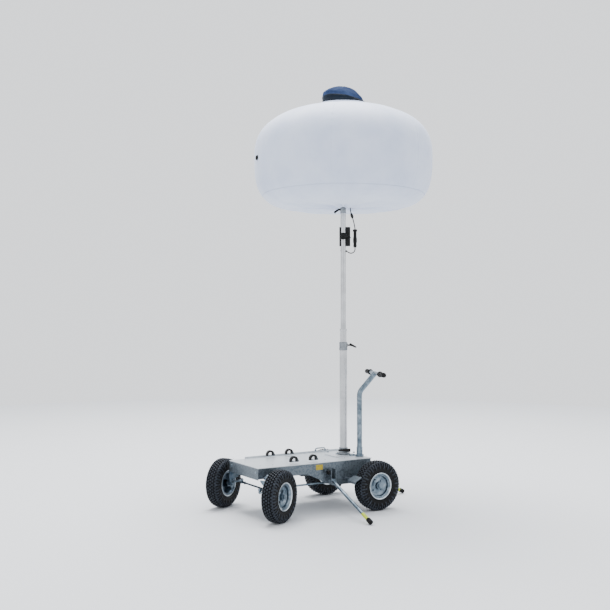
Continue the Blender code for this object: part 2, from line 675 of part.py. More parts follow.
def make_mast(chassis, middle, upper):
    """Lower tube with its clamp collar, and the two sliding tubes."""
    turned("mast_lower_tube", sleeve(LOWER_BORE, LOWER_R, SOCKET_FLOOR + GAP, LOWER_TOP - GAP),
           chassis, "aluminium", (MAST_X, 0, 0), ring=True)
    bore, collar_r = MIDDLE_R + RUN, 0.0290
    collar = [(bore, COLLAR_TOP), (0.0265, COLLAR_TOP), (collar_r, COLLAR_TOP - 0.004),
              (collar_r, LOWER_TOP), (bore, LOWER_TOP)]
    turned("mast_collar", collar, chassis, "aluminium", (MAST_X, 0, 0), ring=True)
    lever = [beside_mast(out, z) for out, z in
             ((0.0295, 1.100), (0.045, 1.100), (0.058, 1.098), (0.072, 1.093), (0.086, 1.087))]
    pipe("mast_collar_lever", lever, LEVER_R, chassis, "black_plastic")
    ring = [(MIDDLE_BORE, MIDDLE_TOP), (0.0240, MIDDLE_TOP), (0.0250, MIDDLE_TOP - 0.003),
            (0.0250, MIDDLE_TOP - 0.017), (MIDDLE_R, MIDDLE_TOP - 0.020), (MIDDLE_R, MIDDLE_LOW),
            (MIDDLE_BORE, MIDDLE_LOW)]
    turned("mast_middle_tube", ring, middle, "aluminium", ring=True)
    tube = turned("mast_upper_tube", sleeve(UPPER_BORE, UPPER_R, UPPER_LOW, LAMP_LOW - GAP),
                  upper, "aluminium", ring=True)
    side = Vector((math.cos(CABLE_TURN), math.sin(CABLE_TURN), 0))
    inside = UPPER_R - WELD
    rise = Vector((0, 0, (GLAND_OUT - inside) * math.tan(GLAND_TILT)))
    level = Vector((0, 0, GLAND_Z))
    gland = rod("cable_gland", level + rise + side * inside, level + side * GLAND_OUT,
                GLAND_R, upper, None, sides=SMALL_SIDES)
    unite(tube, gland)


# Balloon

def balloon_point(angle):
    """Point of the balloon's outline, from 90 degrees at its pole to -90 at its neck."""
    c, s = math.cos(angle), math.sin(angle)
    if s > 0:
        return (BALLOON_R * c ** TOP_ACROSS, BALLOON_MID + (BALLOON_TOP - BALLOON_MID) * s ** TOP_ALONG)
    drop = (BALLOON_MID - BALLOON_LOW) * (-s) ** LOW_ALONG
    return (BALLOON_R * c ** LOW_ACROSS, BALLOON_MID - drop)


def balloon_profile():
    """Points down the balloon's outline, from its pole to its neck."""
    step = math.pi / (2 * BALLOON_ROWS)
    rows = [balloon_point(math.pi / 2 - step * i) for i in range(1, 2 * BALLOON_ROWS)]
    return [(0, BALLOON_TOP)] + rows + [(NECK_R, BALLOON_LOW)]


def make_balloon(upper):
    """Envelope, top ring and hood, the lamp inside and the collar that carries it."""
    envelope = turned("envelope", balloon_profile(), upper, "fabric", steps=ENVELOPE_STEPS)
    wall = envelope.modifiers.new("wall", "SOLIDIFY")
    wall.thickness = ENVELOPE_WALL
    wall.offset = -1
    first_r, first_z = balloon_profile()[1]
    fall = (BALLOON_TOP - first_z) / first_r
    under = [(r, BALLOON_TOP - fall * r + GAP) for r in (RING_R, RING_BORE)]
    top = BALLOON_TOP + RING_HIGH
    ring = [(RING_BORE, top), (RING_R - 0.004, top), (RING_R, top - 0.003)] + under
    turned("top_ring", ring, upper, "fabric", ring=True)
    make_hood(upper, top + GAP)
    turned("lamp_head", [(0, LAMP_HIGH), (LAMP_R, LAMP_HIGH), (LAMP_R, LAMP_LOW), (0, LAMP_LOW)],
           upper, "led")
    inner, neck = UPPER_R + GAP, NECK_R - GAP
    collar = [(inner, BALLOON_LOW + 0.020), (neck, BALLOON_LOW + 0.020), (neck, BALLOON_LOW),
              (COLLAR_R, BALLOON_LOW - 0.002), (COLLAR_R, COLLAR_LOW), (inner, COLLAR_LOW)]
    turned("balloon_collar", collar, upper, "aluminium", ring=True)
    lever = ((COLLAR_R + GAP, 2.056), (0.030, 2.056), (0.042, 2.049), (0.055, 2.040), (0.066, 2.0305))
    side = body("balloon_lever_frame", upper, turn=CABLE_TURN)
    pipe("balloon_lever", [(-out, 0, z) for out, z in lever], 0.0065, side, "black_plastic")


def make_hood(upper, base):
    """Cloth hood over the balloon's cap, slumped to the side where the cable hangs."""
    frame = body("hood_frame", upper, (0, 0, base), CABLE_TURN)
    mesh = bpy.data.meshes.new("hood")
    bm = bmesh.new()
    bmesh.ops.create_cone(bm, cap_ends=True, segments=12, radius1=HOOD_CAGE_R,
                          radius2=HOOD_SHOULDER_R, depth=HOOD_SHOULDER)
    bmesh.ops.translate(bm, vec=(0, 0, HOOD_SHOULDER / 2), verts=bm.verts)
    crown = [face for face in bm.faces if face.normal.z > 0.9]
    bmesh.ops.inset_region(bm, faces=crown, thickness=HOOD_CROWN_IN, depth=HOOD_CROWN)
    for vert in bm.verts:
        vert.co.z *= 1 - HOOD_SLUMP * (vert.co.x / HOOD_CAGE_R + 1) / 2
    crease = bm.edges.layers.float.new("crease_edge")
    for edge in bm.edges:
        if all(vert.co.z < WELD for vert in edge.verts):
            edge[crease] = 1.0
    bm.to_mesh(mesh)
    bm.free()
    mesh.shade_smooth()
    hood = place("hood", mesh, frame, "blue_fabric")
    soft = hood.modifiers.new("soft", "SUBSURF")
    soft.levels = 2
    soft.render_levels = 2


# Cable and its bracket

def make_cable_bracket(upper):
    """A channel behind the mast, thick on one side, with its strap, knob and bolt."""
    frame = body("cable_bracket_frame", upper, turn=CABLE_TURN)
    back = HOLDER_IN + HOLDER_WALL
    left = HOLDER_IN + 0.0075
    front = -0.012
    shape = [(-left, front), (-HOLDER_IN, front), (-HOLDER_IN, HOLDER_IN), (HOLDER_IN, HOLDER_IN),
             (HOLDER_IN, front), (HOLDER_OUT, front), (HOLDER_OUT, back), (-left, back)]
    channel = plate("cable_bracket", shape, HOLDER_HIGH - HOLDER_LOW, frame, "black_plastic",
                    (0, 0, (HOLDER_LOW + HOLDER_HIGH) / 2))
    middle_z = (HOLDER_LOW + HOLDER_HIGH) / 2
    strap_end = HOLDER_IN + 0.0145
    strap = [(-left + 0.0005, 0), (-left + 0.0005, -back), (strap_end, -back), (strap_end, 0),
             (HOLDER_IN, 0), (HOLDER_IN, -HOLDER_IN), (-HOLDER_IN, -HOLDER_IN), (-HOLDER_IN, 0)]
    band = plate("bracket_strap", strap, 0.018, frame, None, (0, 0, middle_z))
    knob = rod("bracket_knob", (-0.001, -back + WELD, middle_z), (-0.001, -back - 0.0215, middle_z),
               HOLDER_KNOB_R, frame, None, sides=12)
    bolt = rod("bracket_bolt", (HOLDER_OUT - WELD, 0, middle_z - 0.007),
               (HOLDER_OUT + 0.005, 0, middle_z - 0.007), 0.006, frame, None, sides=8)
    unite(channel, band, knob, bolt)


def make_cable(upper):
    """The lamp's lead: out of the balloon, through its plug and into the mast."""
    frame = body("cable_frame", upper, turn=CABLE_TURN)
    down = (0, -1)
    leave = (0.0510, BALLOON_LOW)
    joint_top, joint_low = Vector((0.0557, 2.031)), Vector((0.0670, 1.995))
    joint_line = (joint_low - joint_top).normalized()
    first = route(leave, down, [(0.0530, 2.044)], joint_top, joint_line)
    second = route(joint_low, joint_line, [(0.0768, 1.955)], (PLUG_OUT, PLUG_TOP + GAP), down)
    enter = Vector((-math.cos(GLAND_TILT), math.sin(GLAND_TILT)))
    third = route((PLUG_OUT, PLUG_LOW - GAP), down,
                  arc((PLUG_OUT - LOOP_R, LOOP_Z), LOOP_R, 0, math.degrees(GLAND_TILT) - 150, 6),
                  Vector((GLAND_OUT, GLAND_Z)) - enter * GAP, enter)
    for name, path in (("cable_upper", first), ("cable_middle", second), ("cable_loop", third)):
        pipe(name, [(out, 0, z) for out, z in path], CABLE_R, frame, "rubber")
    begin, end = joint_top + joint_line * GAP, joint_low - joint_line * GAP
    rod("cable_joint", (begin[0], 0, begin[1]), (end[0], 0, end[1]), JOINT_R, frame,
        "black_plastic", sides=SMALL_SIDES)
    flange, waist, grip, tail = 0.0155, 0.0112, 0.0132, 0.0105
    plug = [(0, PLUG_TOP), (flange, PLUG_TOP), (flange, PLUG_TOP - 0.012), (waist, PLUG_TOP - 0.019),
            (waist, PLUG_TOP - 0.050), (grip, PLUG_TOP - 0.062), (grip, PLUG_LOW + 0.035),
            (waist, PLUG_LOW + 0.025), (waist, PLUG_LOW + 0.006), (tail, PLUG_LOW), (0, PLUG_LOW)]
    turned("cable_plug", plug, frame, "black_plastic", (PLUG_OUT, 0, 0), steps=20)


def route(begin, begin_line, between, end, end_line):
    """A cable's smooth path, straight for a short way at both its ends."""
    first = (begin[0] + CABLE_STUB * begin_line[0], begin[1] + CABLE_STUB * begin_line[1])
    last = (end[0] - CABLE_STUB * end_line[0], end[1] - CABLE_STUB * end_line[1])
    return [tuple(begin)] + smooth([first] + between + [last], 3) + [tuple(end)]


def smooth(points, parts):
    """A smooth curve through a route's own points."""
    lead = (2 * points[0][0] - points[1][0], 2 * points[0][1] - points[1][1])
    tail = (2 * points[-1][0] - points[-2][0], 2 * points[-1][1] - points[-2][1])
    knots = [lead] + points + [tail]
    path = []
    for i in range(1, len(knots) - 2):
        a, b, c, d = knots[i - 1:i + 3]
        for j in range(parts):
            t = j / parts
            path.append(tuple(
                0.5 * (2 * q + (r - p) * t + (2 * p - 5 * q + 4 * r - s) * t ** 2
                       + (3 * q - p - 3 * r + s) * t ** 3)
                for p, q, r, s in zip(a, b, c, d)))
    return path + [points[-1]]


# Outriggers

def make_outrigger(chassis, name, knob_side, location, turn):
    """Bracket with its locking knob, and a leg that swings up between its cheeks."""
    seat = body("leg_seat_" + name, chassis, location, turn)
    inner = BRACKET_HALF - BRACKET_SHEET
    shape = [(-BRACKET_HALF, GAP), (BRACKET_HALF, GAP), (BRACKET_HALF, BRACKET_DEPTH),
             (inner, BRACKET_DEPTH), (inner, BRACKET_SHEET), (-inner, BRACKET_SHEET),
             (-inner, BRACKET_DEPTH), (-BRACKET_HALF, BRACKET_DEPTH)]
    bracket = plate("leg_bracket_" + name, shape, BRACKET_HIGH - BRACKET_LOW, seat, "galvanised",
                    (0, 0, (BRACKET_LOW + BRACKET_HIGH) / 2))
    bolts = [rod(f"leg_bolt_{name}_{s}", (s * (BRACKET_HALF - WELD), LEG_PIVOT_OUT, LEG_PIVOT_Z),
                 (s * (BRACKET_HALF + 0.006), LEG_PIVOT_OUT, LEG_PIVOT_Z), 0.008, seat, None, sides=6)
             for s in (1, -1)]
    shank = BRACKET_HALF - WELD
    profile = [(0, shank + 0.020), (0.0125, shank + 0.020), (0.015, shank + 0.016),
               (0.015, shank + 0.010), (0.008, shank + 0.007), (0.008, shank), (0, shank)]
    knob = turned("leg_knob_" + name, profile, seat, None, (0, LEG_PIVOT_OUT, KNOB_Z),
                  (0, knob_side * math.pi / 2, 0), steps=14)
    unite(bracket, knob, *bolts)
    make_leg(body("leg_" + name, seat, (0, LEG_PIVOT_OUT, LEG_PIVOT_Z)), name, inner - GAP)


def make_leg(swing, name, eye_half):
    """Leg tube with its eye and rubber foot, sloping out to the ground."""
    drop, away = math.sin(LEG_PITCH), math.cos(LEG_PITCH)
    length = (LEG_PIVOT_Z - FOOT_R * away) / drop
    foot_begin = length - FOOT_LENGTH + FOOT_SOCKET

    def along(s):
        return (0, s * away, -s * drop)

    eye = rod("leg_eye_" + name, (-eye_half, 0, 0), (eye_half, 0, 0), LEG_EYE_R, swing, None)
    tube = rod("leg_tube_" + name, along(0.002), along(foot_begin), LEG_R, swing, "zinc")
    unite(tube, eye)
    rod("leg_foot_" + name, along(foot_begin + GAP), along(length), FOOT_R, swing, "rubber",
        sides=SMALL_SIDES)


# Deck fittings

def make_deck_fittings(chassis):
    """Toggle clamps, lifting bail and latch."""
    height = DECK_TOP + GAP
    upright = (math.pi / 2, 0, 0)
    clamp = [(0.036, 0.0)] + arc((0.006, 0.008), 0.030, 0, 165, 10)
    clamp += [(-0.028, 0.008), (-0.028, 0.0), (-0.010, 0.0), (-0.010, 0.009)]
    clamp += arc((0.006, 0.008), 0.0175, 150, 0, 8) + [(0.0255, 0.0)]
    for row, x in CLAMP_ROWS:
        for side, name in ((1, "left"), (-1, "right")):
            plate(f"deck_clamp_{row}_{name}", clamp, CLAMP_WIDTH, chassis, "black_plastic",
                  (x, side * CLAMP_Y, height), upright)
    bend = 0.012
    bail = [(-BAIL_HALF, 0)] + arc((-BAIL_HALF + bend, BAIL_HEIGHT - bend), bend, 180, 90, 3)
    bail += arc((BAIL_HALF - bend, BAIL_HEIGHT - bend), bend, 90, 0, 3) + [(BAIL_HALF, 0)]
    pipe("deck_bail", [(a, 0, b) for a, b in bail], BAIL_R, chassis, "zinc",
         location=(BAIL_X, BAIL_Y, height))
    outer, inner, tall = 0.018, 0.012, 0.026
    latch = [(-outer, 0), (outer, 0), (outer, tall), (inner, tall), (inner, 0.004),
             (-inner, 0.004), (-inner, tall), (-outer, tall)]
    plate("deck_latch", latch, 0.014, chassis, "zinc", (LATCH_X, LATCH_Y, height), upright)


def main():
    chassis = body("chassis")
    make_deck(chassis)
    make_rear_axle(chassis)
    for side, name in ((1, "left"), (-1, "right")):
        make_kingpin_housing(chassis, side, name)
        knuckle = body("knuckle_frame_" + name, chassis, (FRONT_X, side * KINGPIN_Y, 0), STEER_REST)
        make_knuckle(knuckle, side, name)
        wheel("front_" + name, knuckle, side, (0, side * HUB_OFFSET, AXLE_Z))
        wheel("rear_" + name, chassis, side, (REAR_X, side * TRACK_HALF, AXLE_Z))
    tie = body("tie_rod_frame", chassis, (*arm_point(1, -TIE_ARM, 0), 0))
    make_tie_rod(tie)
    tiller = body("tiller_frame", chassis, (TILLER_X, TILLER_Y, 0), TILLER_REST)
    make_tiller(tiller, chassis)
    c, s = math.cos(TILLER_REST), math.sin(TILLER_REST)
    rear_eye = (TILLER_X - TILLER_ARM * s, TILLER_Y + TILLER_ARM * c)
    front_eye = arm_point(1, 0, -DRAG_ARM)
    drag = body("drag_link_frame", chassis, (*rear_eye, 0))
    make_drag_link(drag, (front_eye[0] - rear_eye[0], front_eye[1] - rear_eye[1]))
    middle = body("mast_middle", chassis, (MAST_X, 0, 0))
    upper = body("mast_upper", middle)
    make_mast_foot(chassis)
    make_mast(chassis, middle, upper)
    make_balloon(upper)
    make_cable_bracket(upper)
    make_cable(upper)
    make_outrigger(chassis, "left", 1, (SIDE_LEG_X, PANEL_OUT, 0), 0)
    make_outrigger(chassis, "right", -1, (SIDE_LEG_X, -PANEL_OUT, 0), math.pi)
    make_outrigger(chassis, "rear", 1, (REAR_APRON_X, REAR_LEG_Y, 0), math.pi / 2)
    make_deck_fittings(chassis)


main()
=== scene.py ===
"""Lighting balloon on a steerable hand trolley, dressed over its own frame.

Metres, +Z up. +X is the way the trolley is driven and +Y is its left.
"""
import json
import math

import bmesh
import bpy
from mathutils import Matrix, Vector, noise


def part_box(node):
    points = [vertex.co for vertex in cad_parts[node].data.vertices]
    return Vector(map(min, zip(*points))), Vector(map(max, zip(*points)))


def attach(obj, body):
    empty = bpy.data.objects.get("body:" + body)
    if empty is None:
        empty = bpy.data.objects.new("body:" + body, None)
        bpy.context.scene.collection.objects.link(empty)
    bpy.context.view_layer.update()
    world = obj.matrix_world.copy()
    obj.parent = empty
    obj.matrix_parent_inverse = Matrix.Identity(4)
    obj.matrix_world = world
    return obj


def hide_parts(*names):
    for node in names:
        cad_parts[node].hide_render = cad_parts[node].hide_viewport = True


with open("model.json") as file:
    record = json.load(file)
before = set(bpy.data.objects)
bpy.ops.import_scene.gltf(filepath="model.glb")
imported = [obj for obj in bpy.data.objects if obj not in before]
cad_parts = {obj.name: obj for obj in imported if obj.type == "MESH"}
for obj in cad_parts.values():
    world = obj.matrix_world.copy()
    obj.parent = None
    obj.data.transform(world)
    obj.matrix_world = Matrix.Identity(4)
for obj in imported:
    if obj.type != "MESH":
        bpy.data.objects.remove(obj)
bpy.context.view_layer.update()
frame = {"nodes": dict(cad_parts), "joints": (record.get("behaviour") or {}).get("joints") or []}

TAU = 2 * math.pi
MM = 0.001
UP = (0, 0, 1)
JOINTS = {joint["name"]: joint for joint in frame["joints"]}
SIDES = ((1, "left"), (-1, "right"))


def joint_place(name):
    """A hinge's own place at rest."""
    return Vector(JOINTS[name]["pos_m"])


# Driving dimensions, the same ones that the frame was drawn from
FRONT = joint_place("knuckle_left_steer")
REAR = joint_place("wheel_rear_left_spin")
TILLER = joint_place("tiller_steer")
MAST_X = sum(corner.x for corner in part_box("mast_lower_tube")) / 2
DECK_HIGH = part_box("deck_plate")[1]
DECK_TOP = DECK_HIGH.z
PANEL_OUT = 0.202       # outer face of each side panel
GAP = 0.0003            # between pieces that touch

TYRE_R = 0.165
TYRE_HALF = 0.05
RIM_LIP_R = 0.089
HUB_OUT = 0.032

STEER_REST = math.radians(30)
TILLER_REST = math.radians(-24)
TILLER_R = 0.018
TILLER_REACH = 0.111
TILLER_BEND_Z = 0.775
TILLER_BAR_Z = 0.906
TILLER_BAR_HALF = 0.28
TILLER_BAR_R = 0.0125
GRIP_LENGTH = 0.125

LOWER_R = 0.026
MIDDLE_R = 0.0225
UPPER_R = 0.0185
LOWER_TOP = 1.065
COLLAR_TOP = 1.122

BALLOON_R = 0.627
BALLOON_TOP = 2.775
BALLOON_MID = 2.41
BALLOON_LOW = 2.07
TOP_ACROSS, TOP_ALONG = 0.9, 0.73       # how square the outline is, above its widest place and below
LOW_ACROSS, LOW_ALONG = 0.27, 0.75
NECK_R = 0.03
RING_R = 0.176

LEG_PITCH = math.radians(24.3)
LEG_PIVOT_Z = 0.212
LEG_R = 0.011
FOOT_R = 0.016

# The cable's side of the mast, and the lead with what holds it
CABLE_TURN = math.radians(148.4)
CABLE_R = 0.0035
GLAND_Z = 1.7596
GLAND_TILT = math.radians(30)
LOOP_R = 0.0285         # the lead's bend under its plug
LOOP_Z = 1.776
PLUG_OUT = 0.0835
PLUG_TOP = 1.916
PLUG_LOW = 1.789
HOLDER_LOW = 1.798
HOLDER_HIGH = 1.932


# Camera, floor and light

CAMERA = Vector((MAST_X + 3.4205, 5.05, 1.23))
CAMERA_TURN = math.radians(31.581)
CAMERA_PITCH = math.radians(1.4318)
CAMERA_LENS = 51.1
CAMERA_SENSOR = 36


def set_camera():
    """The photograph's own place and direction."""
    data = bpy.data.cameras.new("camera")
    data.lens = CAMERA_LENS
    data.sensor_width = CAMERA_SENSOR
    camera = bpy.data.objects.new("camera", data)
    bpy.context.scene.collection.objects.link(camera)
    flat = math.cos(CAMERA_PITCH)
    look = Vector((-math.sin(CAMERA_TURN) * flat, -math.cos(CAMERA_TURN) * flat, math.sin(CAMERA_PITCH)))
    camera.location = CAMERA
    camera.rotation_mode = "QUATERNION"
    camera.rotation_quaternion = look.to_track_quat("-Z", "Y")
    bpy.context.scene.camera = camera


def linear(colour):
    """Linear RGBA of an sRGB hex colour."""
    values = [int(colour[i:i + 2], 16) / 255 for i in (1, 3, 5)]
    return (*[v / 12.92 if v <= 0.04045 else ((v + 0.055) / 1.055) ** 2.4 for v in values], 1)


ROOM_STRENGTH = 1.62
OVERHEAD = (-0.6, -1.8, 9.0)
FLOOR_R = 7.2


def set_light():
    """Studio light: a bright pale room, one large soft box above and two small ones at the sides."""
    world = bpy.data.worlds.new("studio")
    world.use_nodes = True
    room = world.node_tree.nodes["Background"]
    room.inputs["Color"].default_value = linear("#f4f7fb")
    room.inputs["Strength"].default_value = ROOM_STRENGTH
    bpy.context.scene.world = world
    for name, place, size, power, aim in (
            ("overhead_box", OVERHEAD, 6.0, 1700, (0, 0, 0.4)),
            ("left_box", (4.6, 1.4, 2.6), 1.6, 16, (0, 0, 0.8)),
            ("right_box", (-2.6, 4.4, 2.2), 1.2, 12, (0, 0, 0.7))):
        data = bpy.data.lights.new(name, "AREA")
        data.shape = "SQUARE"
        data.size = size
        data.energy = power
        light = bpy.data.objects.new(name, data)
        light.location = place
        light.rotation_mode = "QUATERNION"
        light.rotation_quaternion = (Vector(aim) - Vector(place)).to_track_quat("-Z", "Y")
        bpy.context.scene.collection.objects.link(light)


def set_floor():
    """A plain pale floor, round, that ends where the light on it has fallen to the room's own."""
    bm = bmesh.new()
    bmesh.ops.create_circle(bm, cap_ends=True, radius=FLOOR_R, segments=180,
                            matrix=Matrix.Translation((*OVERHEAD[:2], 0)))
    mesh = bpy.data.meshes.new("floor")
    bm.to_mesh(mesh)
    bm.free()
    floor = bpy.data.objects.new("floor", mesh)
    bpy.context.scene.collection.objects.link(floor)
    material = bpy.data.materials.new("matt_studio_paper")
    material.use_nodes = True
    shader = material.node_tree.nodes["Principled BSDF"]
    shader.inputs["Base Color"].default_value = linear("#d6d8db")
    shader.inputs["Roughness"].default_value = 0.95
    shader.inputs["Specular IOR Level"].default_value = 0.1
    mesh.materials.append(material)


set_camera()
set_light()
set_floor()


# Materials

def add(tree, kind, inputs=None, **settings):
    """Add a node with its settings; an input is a value or another node's output."""
    new = tree.nodes.new("ShaderNode" + kind)
    for name, value in settings.items():
        setattr(new, name, value)
    for name, value in (inputs or {}).items():
        if isinstance(value, bpy.types.NodeSocket):
            tree.links.new(value, new.inputs[name])
        else:
            new.inputs[name].default_value = value
    return new


def base(name, roughness, metallic=0.0, **sockets):
    """A material with its tree, shader and place in the frame; sockets are set as they are."""
    material = bpy.data.materials.new(name)
    material.use_nodes = True
    tree = material.node_tree
    shader = tree.nodes["Principled BSDF"]
    shader.inputs["Roughness"].default_value = roughness
    shader.inputs["Metallic"].default_value = metallic
    for socket, value in sockets.items():
        shader.inputs[socket.replace("_", " ")].default_value = value
    place = add(tree, "TexCoord").outputs["Object"]
    return material, tree, shader, place


def ramp(tree, factor, *stops):
    """Colours between stops of (position, hex colour)."""
    new = add(tree, "ValToRGB", {"Fac": factor})
    line = new.color_ramp
    while len(line.elements) < len(stops):
        line.elements.new(0.5)
    for element, (position, colour) in zip(line.elements, stops):
        element.position = position
        element.color = linear(colour)
    return new.outputs["Color"]


def bump(tree, shader, height, distance, strength, under=None):
    """Raise the surface by a height map; distance is in metres."""
    inputs = {"Height": height, "Distance": distance, "Strength": strength}
    if under:
        inputs["Normal"] = under
    out = add(tree, "Bump", inputs).outputs["Normal"]
    tree.links.new(out, shader.inputs["Normal"])
    return out


def between(tree, factor, low, high):
    """A factor from 0 to 1 brought to a range."""
    return add(tree, "MapRange", {"Value": factor, "To Min": low, "To Max": high}).outputs["Result"]


def surface(tree, shader, colour, roughness=None):
    """Give the shader its colour, and its roughness where that varies."""
    tree.links.new(colour, shader.inputs["Base Color"])
    if roughness:
        tree.links.new(roughness, shader.inputs["Roughness"])


def galvanised_sheet(name, metallic, dark, middle, light):
    """Hot-dip galvanised sheet: frosty zinc crystals about 9 mm wide, and faint rolling lines."""
    material, tree, shader, place = base(name, 0.36, metallic)
    crystals = add(tree, "TexVoronoi", {"Vector": place, "Scale": 1 / (9 * MM), "Randomness": 1.0})
    grain = add(tree, "SeparateColor", {"Color": crystals.outputs["Color"]}).outputs["Red"]
    cloud = add(tree, "TexNoise", {"Vector": place, "Scale": 1 / (120 * MM), "Detail": 4.0}).outputs["Fac"]
    shade = add(tree, "Math", {0: grain, 1: cloud}, operation="ADD").outputs[0]
    colour = ramp(tree, between(tree, shade, 0.0, 0.62), (0.0, dark), (0.5, middle), (1.0, light))
    surface(tree, shader, colour, between(tree, grain, 0.28, 0.44))
    along, across = 1 / (60 * MM), 1 / (1.2 * MM)
    stretched = add(tree, "Mapping", {"Vector": place, "Scale": (along, across, along)})
    lines = add(tree, "TexNoise", {"Vector": stretched.outputs[0], "Scale": 1.0, "Detail": 2.0})
    under = bump(tree, shader, grain, 0.04 * MM, 0.5)
    bump(tree, shader, lines.outputs["Fac"], 0.03 * MM, 0.4, under)
    return material


def zinc_plated_steel(name, dark, middle, light):
    """Bright zinc plate with a blue passivated tint: a cool mottle, with fine handling scratches."""
    material, tree, shader, place = base(name, 0.3, 1.0)
    patches = {"Vector": place, "Scale": 1 / (35 * MM), "Detail": 5.0, "Distortion": 0.6}
    mottle = add(tree, "TexNoise", patches).outputs["Fac"]
    colour = ramp(tree, mottle, (0.3, dark), (0.52, middle), (0.75, light))
    surface(tree, shader, colour, between(tree, mottle, 0.22, 0.4))
    fine = add(tree, "TexNoise", {"Vector": place, "Scale": 1 / (1.5 * MM), "Detail": 3.0})
    bump(tree, shader, fine.outputs["Fac"], 0.02 * MM, 0.5)
    return material


def drawn_aluminium():
    """Mill-finish drawn tube: satin grey with die lines along its length."""
    material, tree, shader, place = base("mill_finish_aluminium_tube", 0.38, 1.0)
    across, along = 1 / (0.8 * MM), 1 / (150 * MM)
    stretched = add(tree, "Mapping", {"Vector": place, "Scale": (across, across, along)}).outputs[0]
    lines = add(tree, "TexNoise", {"Vector": stretched, "Scale": 1.0, "Detail": 3.0}).outputs["Fac"]
    cloud = add(tree, "TexNoise", {"Vector": place, "Scale": 1 / (90 * MM), "Detail": 3.0}).outputs["Fac"]
    tone = add(tree, "Math", {0: lines, 1: cloud}, operation="MULTIPLY").outputs[0]
    colour = ramp(tree, tone, (0.1, "#a7a9ab"), (0.25, "#c0c1c3"), (0.42, "#d3d4d5"))
    surface(tree, shader, colour, between(tree, lines, 0.3, 0.46))
    bump(tree, shader, lines, 0.02 * MM, 0.4)
    return material


def cast_aluminium():
    """Die-cast alloy of the collars and the foot: a dull skin with a fine pebble, 1.5 mm."""
    material, tree, shader, place = base("die_cast_aluminium", 0.5, 1.0)
    skin = add(tree, "TexNoise", {"Vector": place, "Scale": 1 / (1.5 * MM), "Detail": 3.0}).outputs["Fac"]
    cloud = add(tree, "TexNoise", {"Vector": place, "Scale": 1 / (25 * MM), "Detail": 2.0}).outputs["Fac"]
    colour = ramp(tree, cloud, (0.3, "#757a80"), (0.7, "#969ba0"))
    surface(tree, shader, colour, between(tree, skin, 0.44, 0.6))
    bump(tree, shader, skin, 0.08 * MM, 0.6)
    return material


def moulded_nylon():
    """Black glass-filled nylon: spark-eroded grain, drawn 1 mm coarse so that it shows, and scuffs."""
    material, tree, shader, place = base("black_moulded_nylon", 0.45, Specular_IOR_Level=0.22)
    grain = add(tree, "TexNoise", {"Vector": place, "Scale": 1 / (1.0 * MM), "Detail": 2.0}).outputs["Fac"]
    scuff = add(tree, "TexNoise", {"Vector": place, "Scale": 1 / (14 * MM), "Detail": 5.0}).outputs["Fac"]
    colour = ramp(tree, scuff, (0.35, "#050506"), (0.65, "#09090a"), (0.85, "#121214"))
    surface(tree, shader, colour, between(tree, scuff, 0.38, 0.56))
    bump(tree, shader, grain, 0.06 * MM, 0.6)
    return material


def tyre_rubber(name, skin, bloom, dusty):
    """Vulcanised rubber: a satin skin with a faint bluish bloom and dust; a greyer copy goes on the lug tops,
    partly road wear and partly a painted highlight.
    """
    material, tree, shader, place = base(name, 0.5, Specular_IOR_Level=0.16)
    patches = {"Vector": place, "Scale": 1 / (22 * MM), "Detail": 6.0, "Roughness": 0.6}
    dust = add(tree, "TexNoise", patches).outputs["Fac"]
    colour = ramp(tree, dust, (0.38, skin), (0.6, bloom), (0.8, dusty))
    surface(tree, shader, colour, between(tree, dust, 0.4, 0.62))
    fine = add(tree, "TexNoise", {"Vector": place, "Scale": 1 / (1.2 * MM), "Detail": 2.0}).outputs["Fac"]
    bump(tree, shader, fine, 0.08 * MM, 0.5)
    return material


def soft_rubber(name, colour, worn):
    """Matt moulded rubber of feet and cable sheaths, greyed where it rubs."""
    material, tree, shader, place = base(name, 0.7, Specular_IOR_Level=0.2)
    rubbed = add(tree, "TexNoise", {"Vector": place, "Scale": 1 / (9 * MM), "Detail": 4.0}).outputs["Fac"]
    surface(tree, shader, ramp(tree, rubbed, (0.4, colour), (0.75, worn)), between(tree, rubbed, 0.6, 0.8))
    fine = add(tree, "TexNoise", {"Vector": place, "Scale": 1 / (0.9 * MM), "Detail": 2.0}).outputs["Fac"]
    bump(tree, shader, fine, 0.05 * MM, 0.5)
    return material


def woven_cloth(name, thread, colour, shadow, roughness, lift, **sockets):
    """Plain weave: two sets of threads, drawn coarser than the real 0.3 mm so that they show."""
    material, tree, shader, place = base(name, roughness, **sockets)
    bands = []
    for direction in ("Z", "DIAGONAL"):
        wave = add(tree, "TexWave", {"Vector": place, "Scale": 0.31 / thread, "Distortion": 0.4},
                   bands_direction=direction, wave_profile="SIN")
        bands.append(wave.outputs["Fac"])
    weave = add(tree, "Math", {0: bands[0], 1: bands[1]}, operation="MAXIMUM").outputs[0]
    cloud = add(tree, "TexNoise", {"Vector": place, "Scale": 1 / (180 * MM), "Detail": 4.0}).outputs["Fac"]
    surface(tree, shader, ramp(tree, cloud, (0.3, shadow), (0.62, colour)))
    creases = {"Vector": place, "Scale": 1 / (45 * MM), "Detail": 5.0, "Distortion": 1.2}
    under = bump(tree, shader, add(tree, "TexNoise", creases).outputs["Fac"], lift, 0.6)
    bump(tree, shader, weave, 0.06 * MM, 0.35, under)
    return material


def printed_vinyl(name, colour, edge):
    """Self-adhesive vinyl: a flat film with a slight orange peel."""
    material, tree, shader, place = base(name, 0.4)
    cloud = add(tree, "TexNoise", {"Vector": place, "Scale": 1 / (8 * MM), "Detail": 3.0}).outputs["Fac"]
    surface(tree, shader, ramp(tree, cloud, (0.3, edge), (0.6, colour)))
    bump(tree, shader, cloud, 0.03 * MM, 0.4)
    return material


SHEET = galvanised_sheet("hot_dip_galvanised_sheet", 0.55, "#3a434b", "#525c64", "#808890")
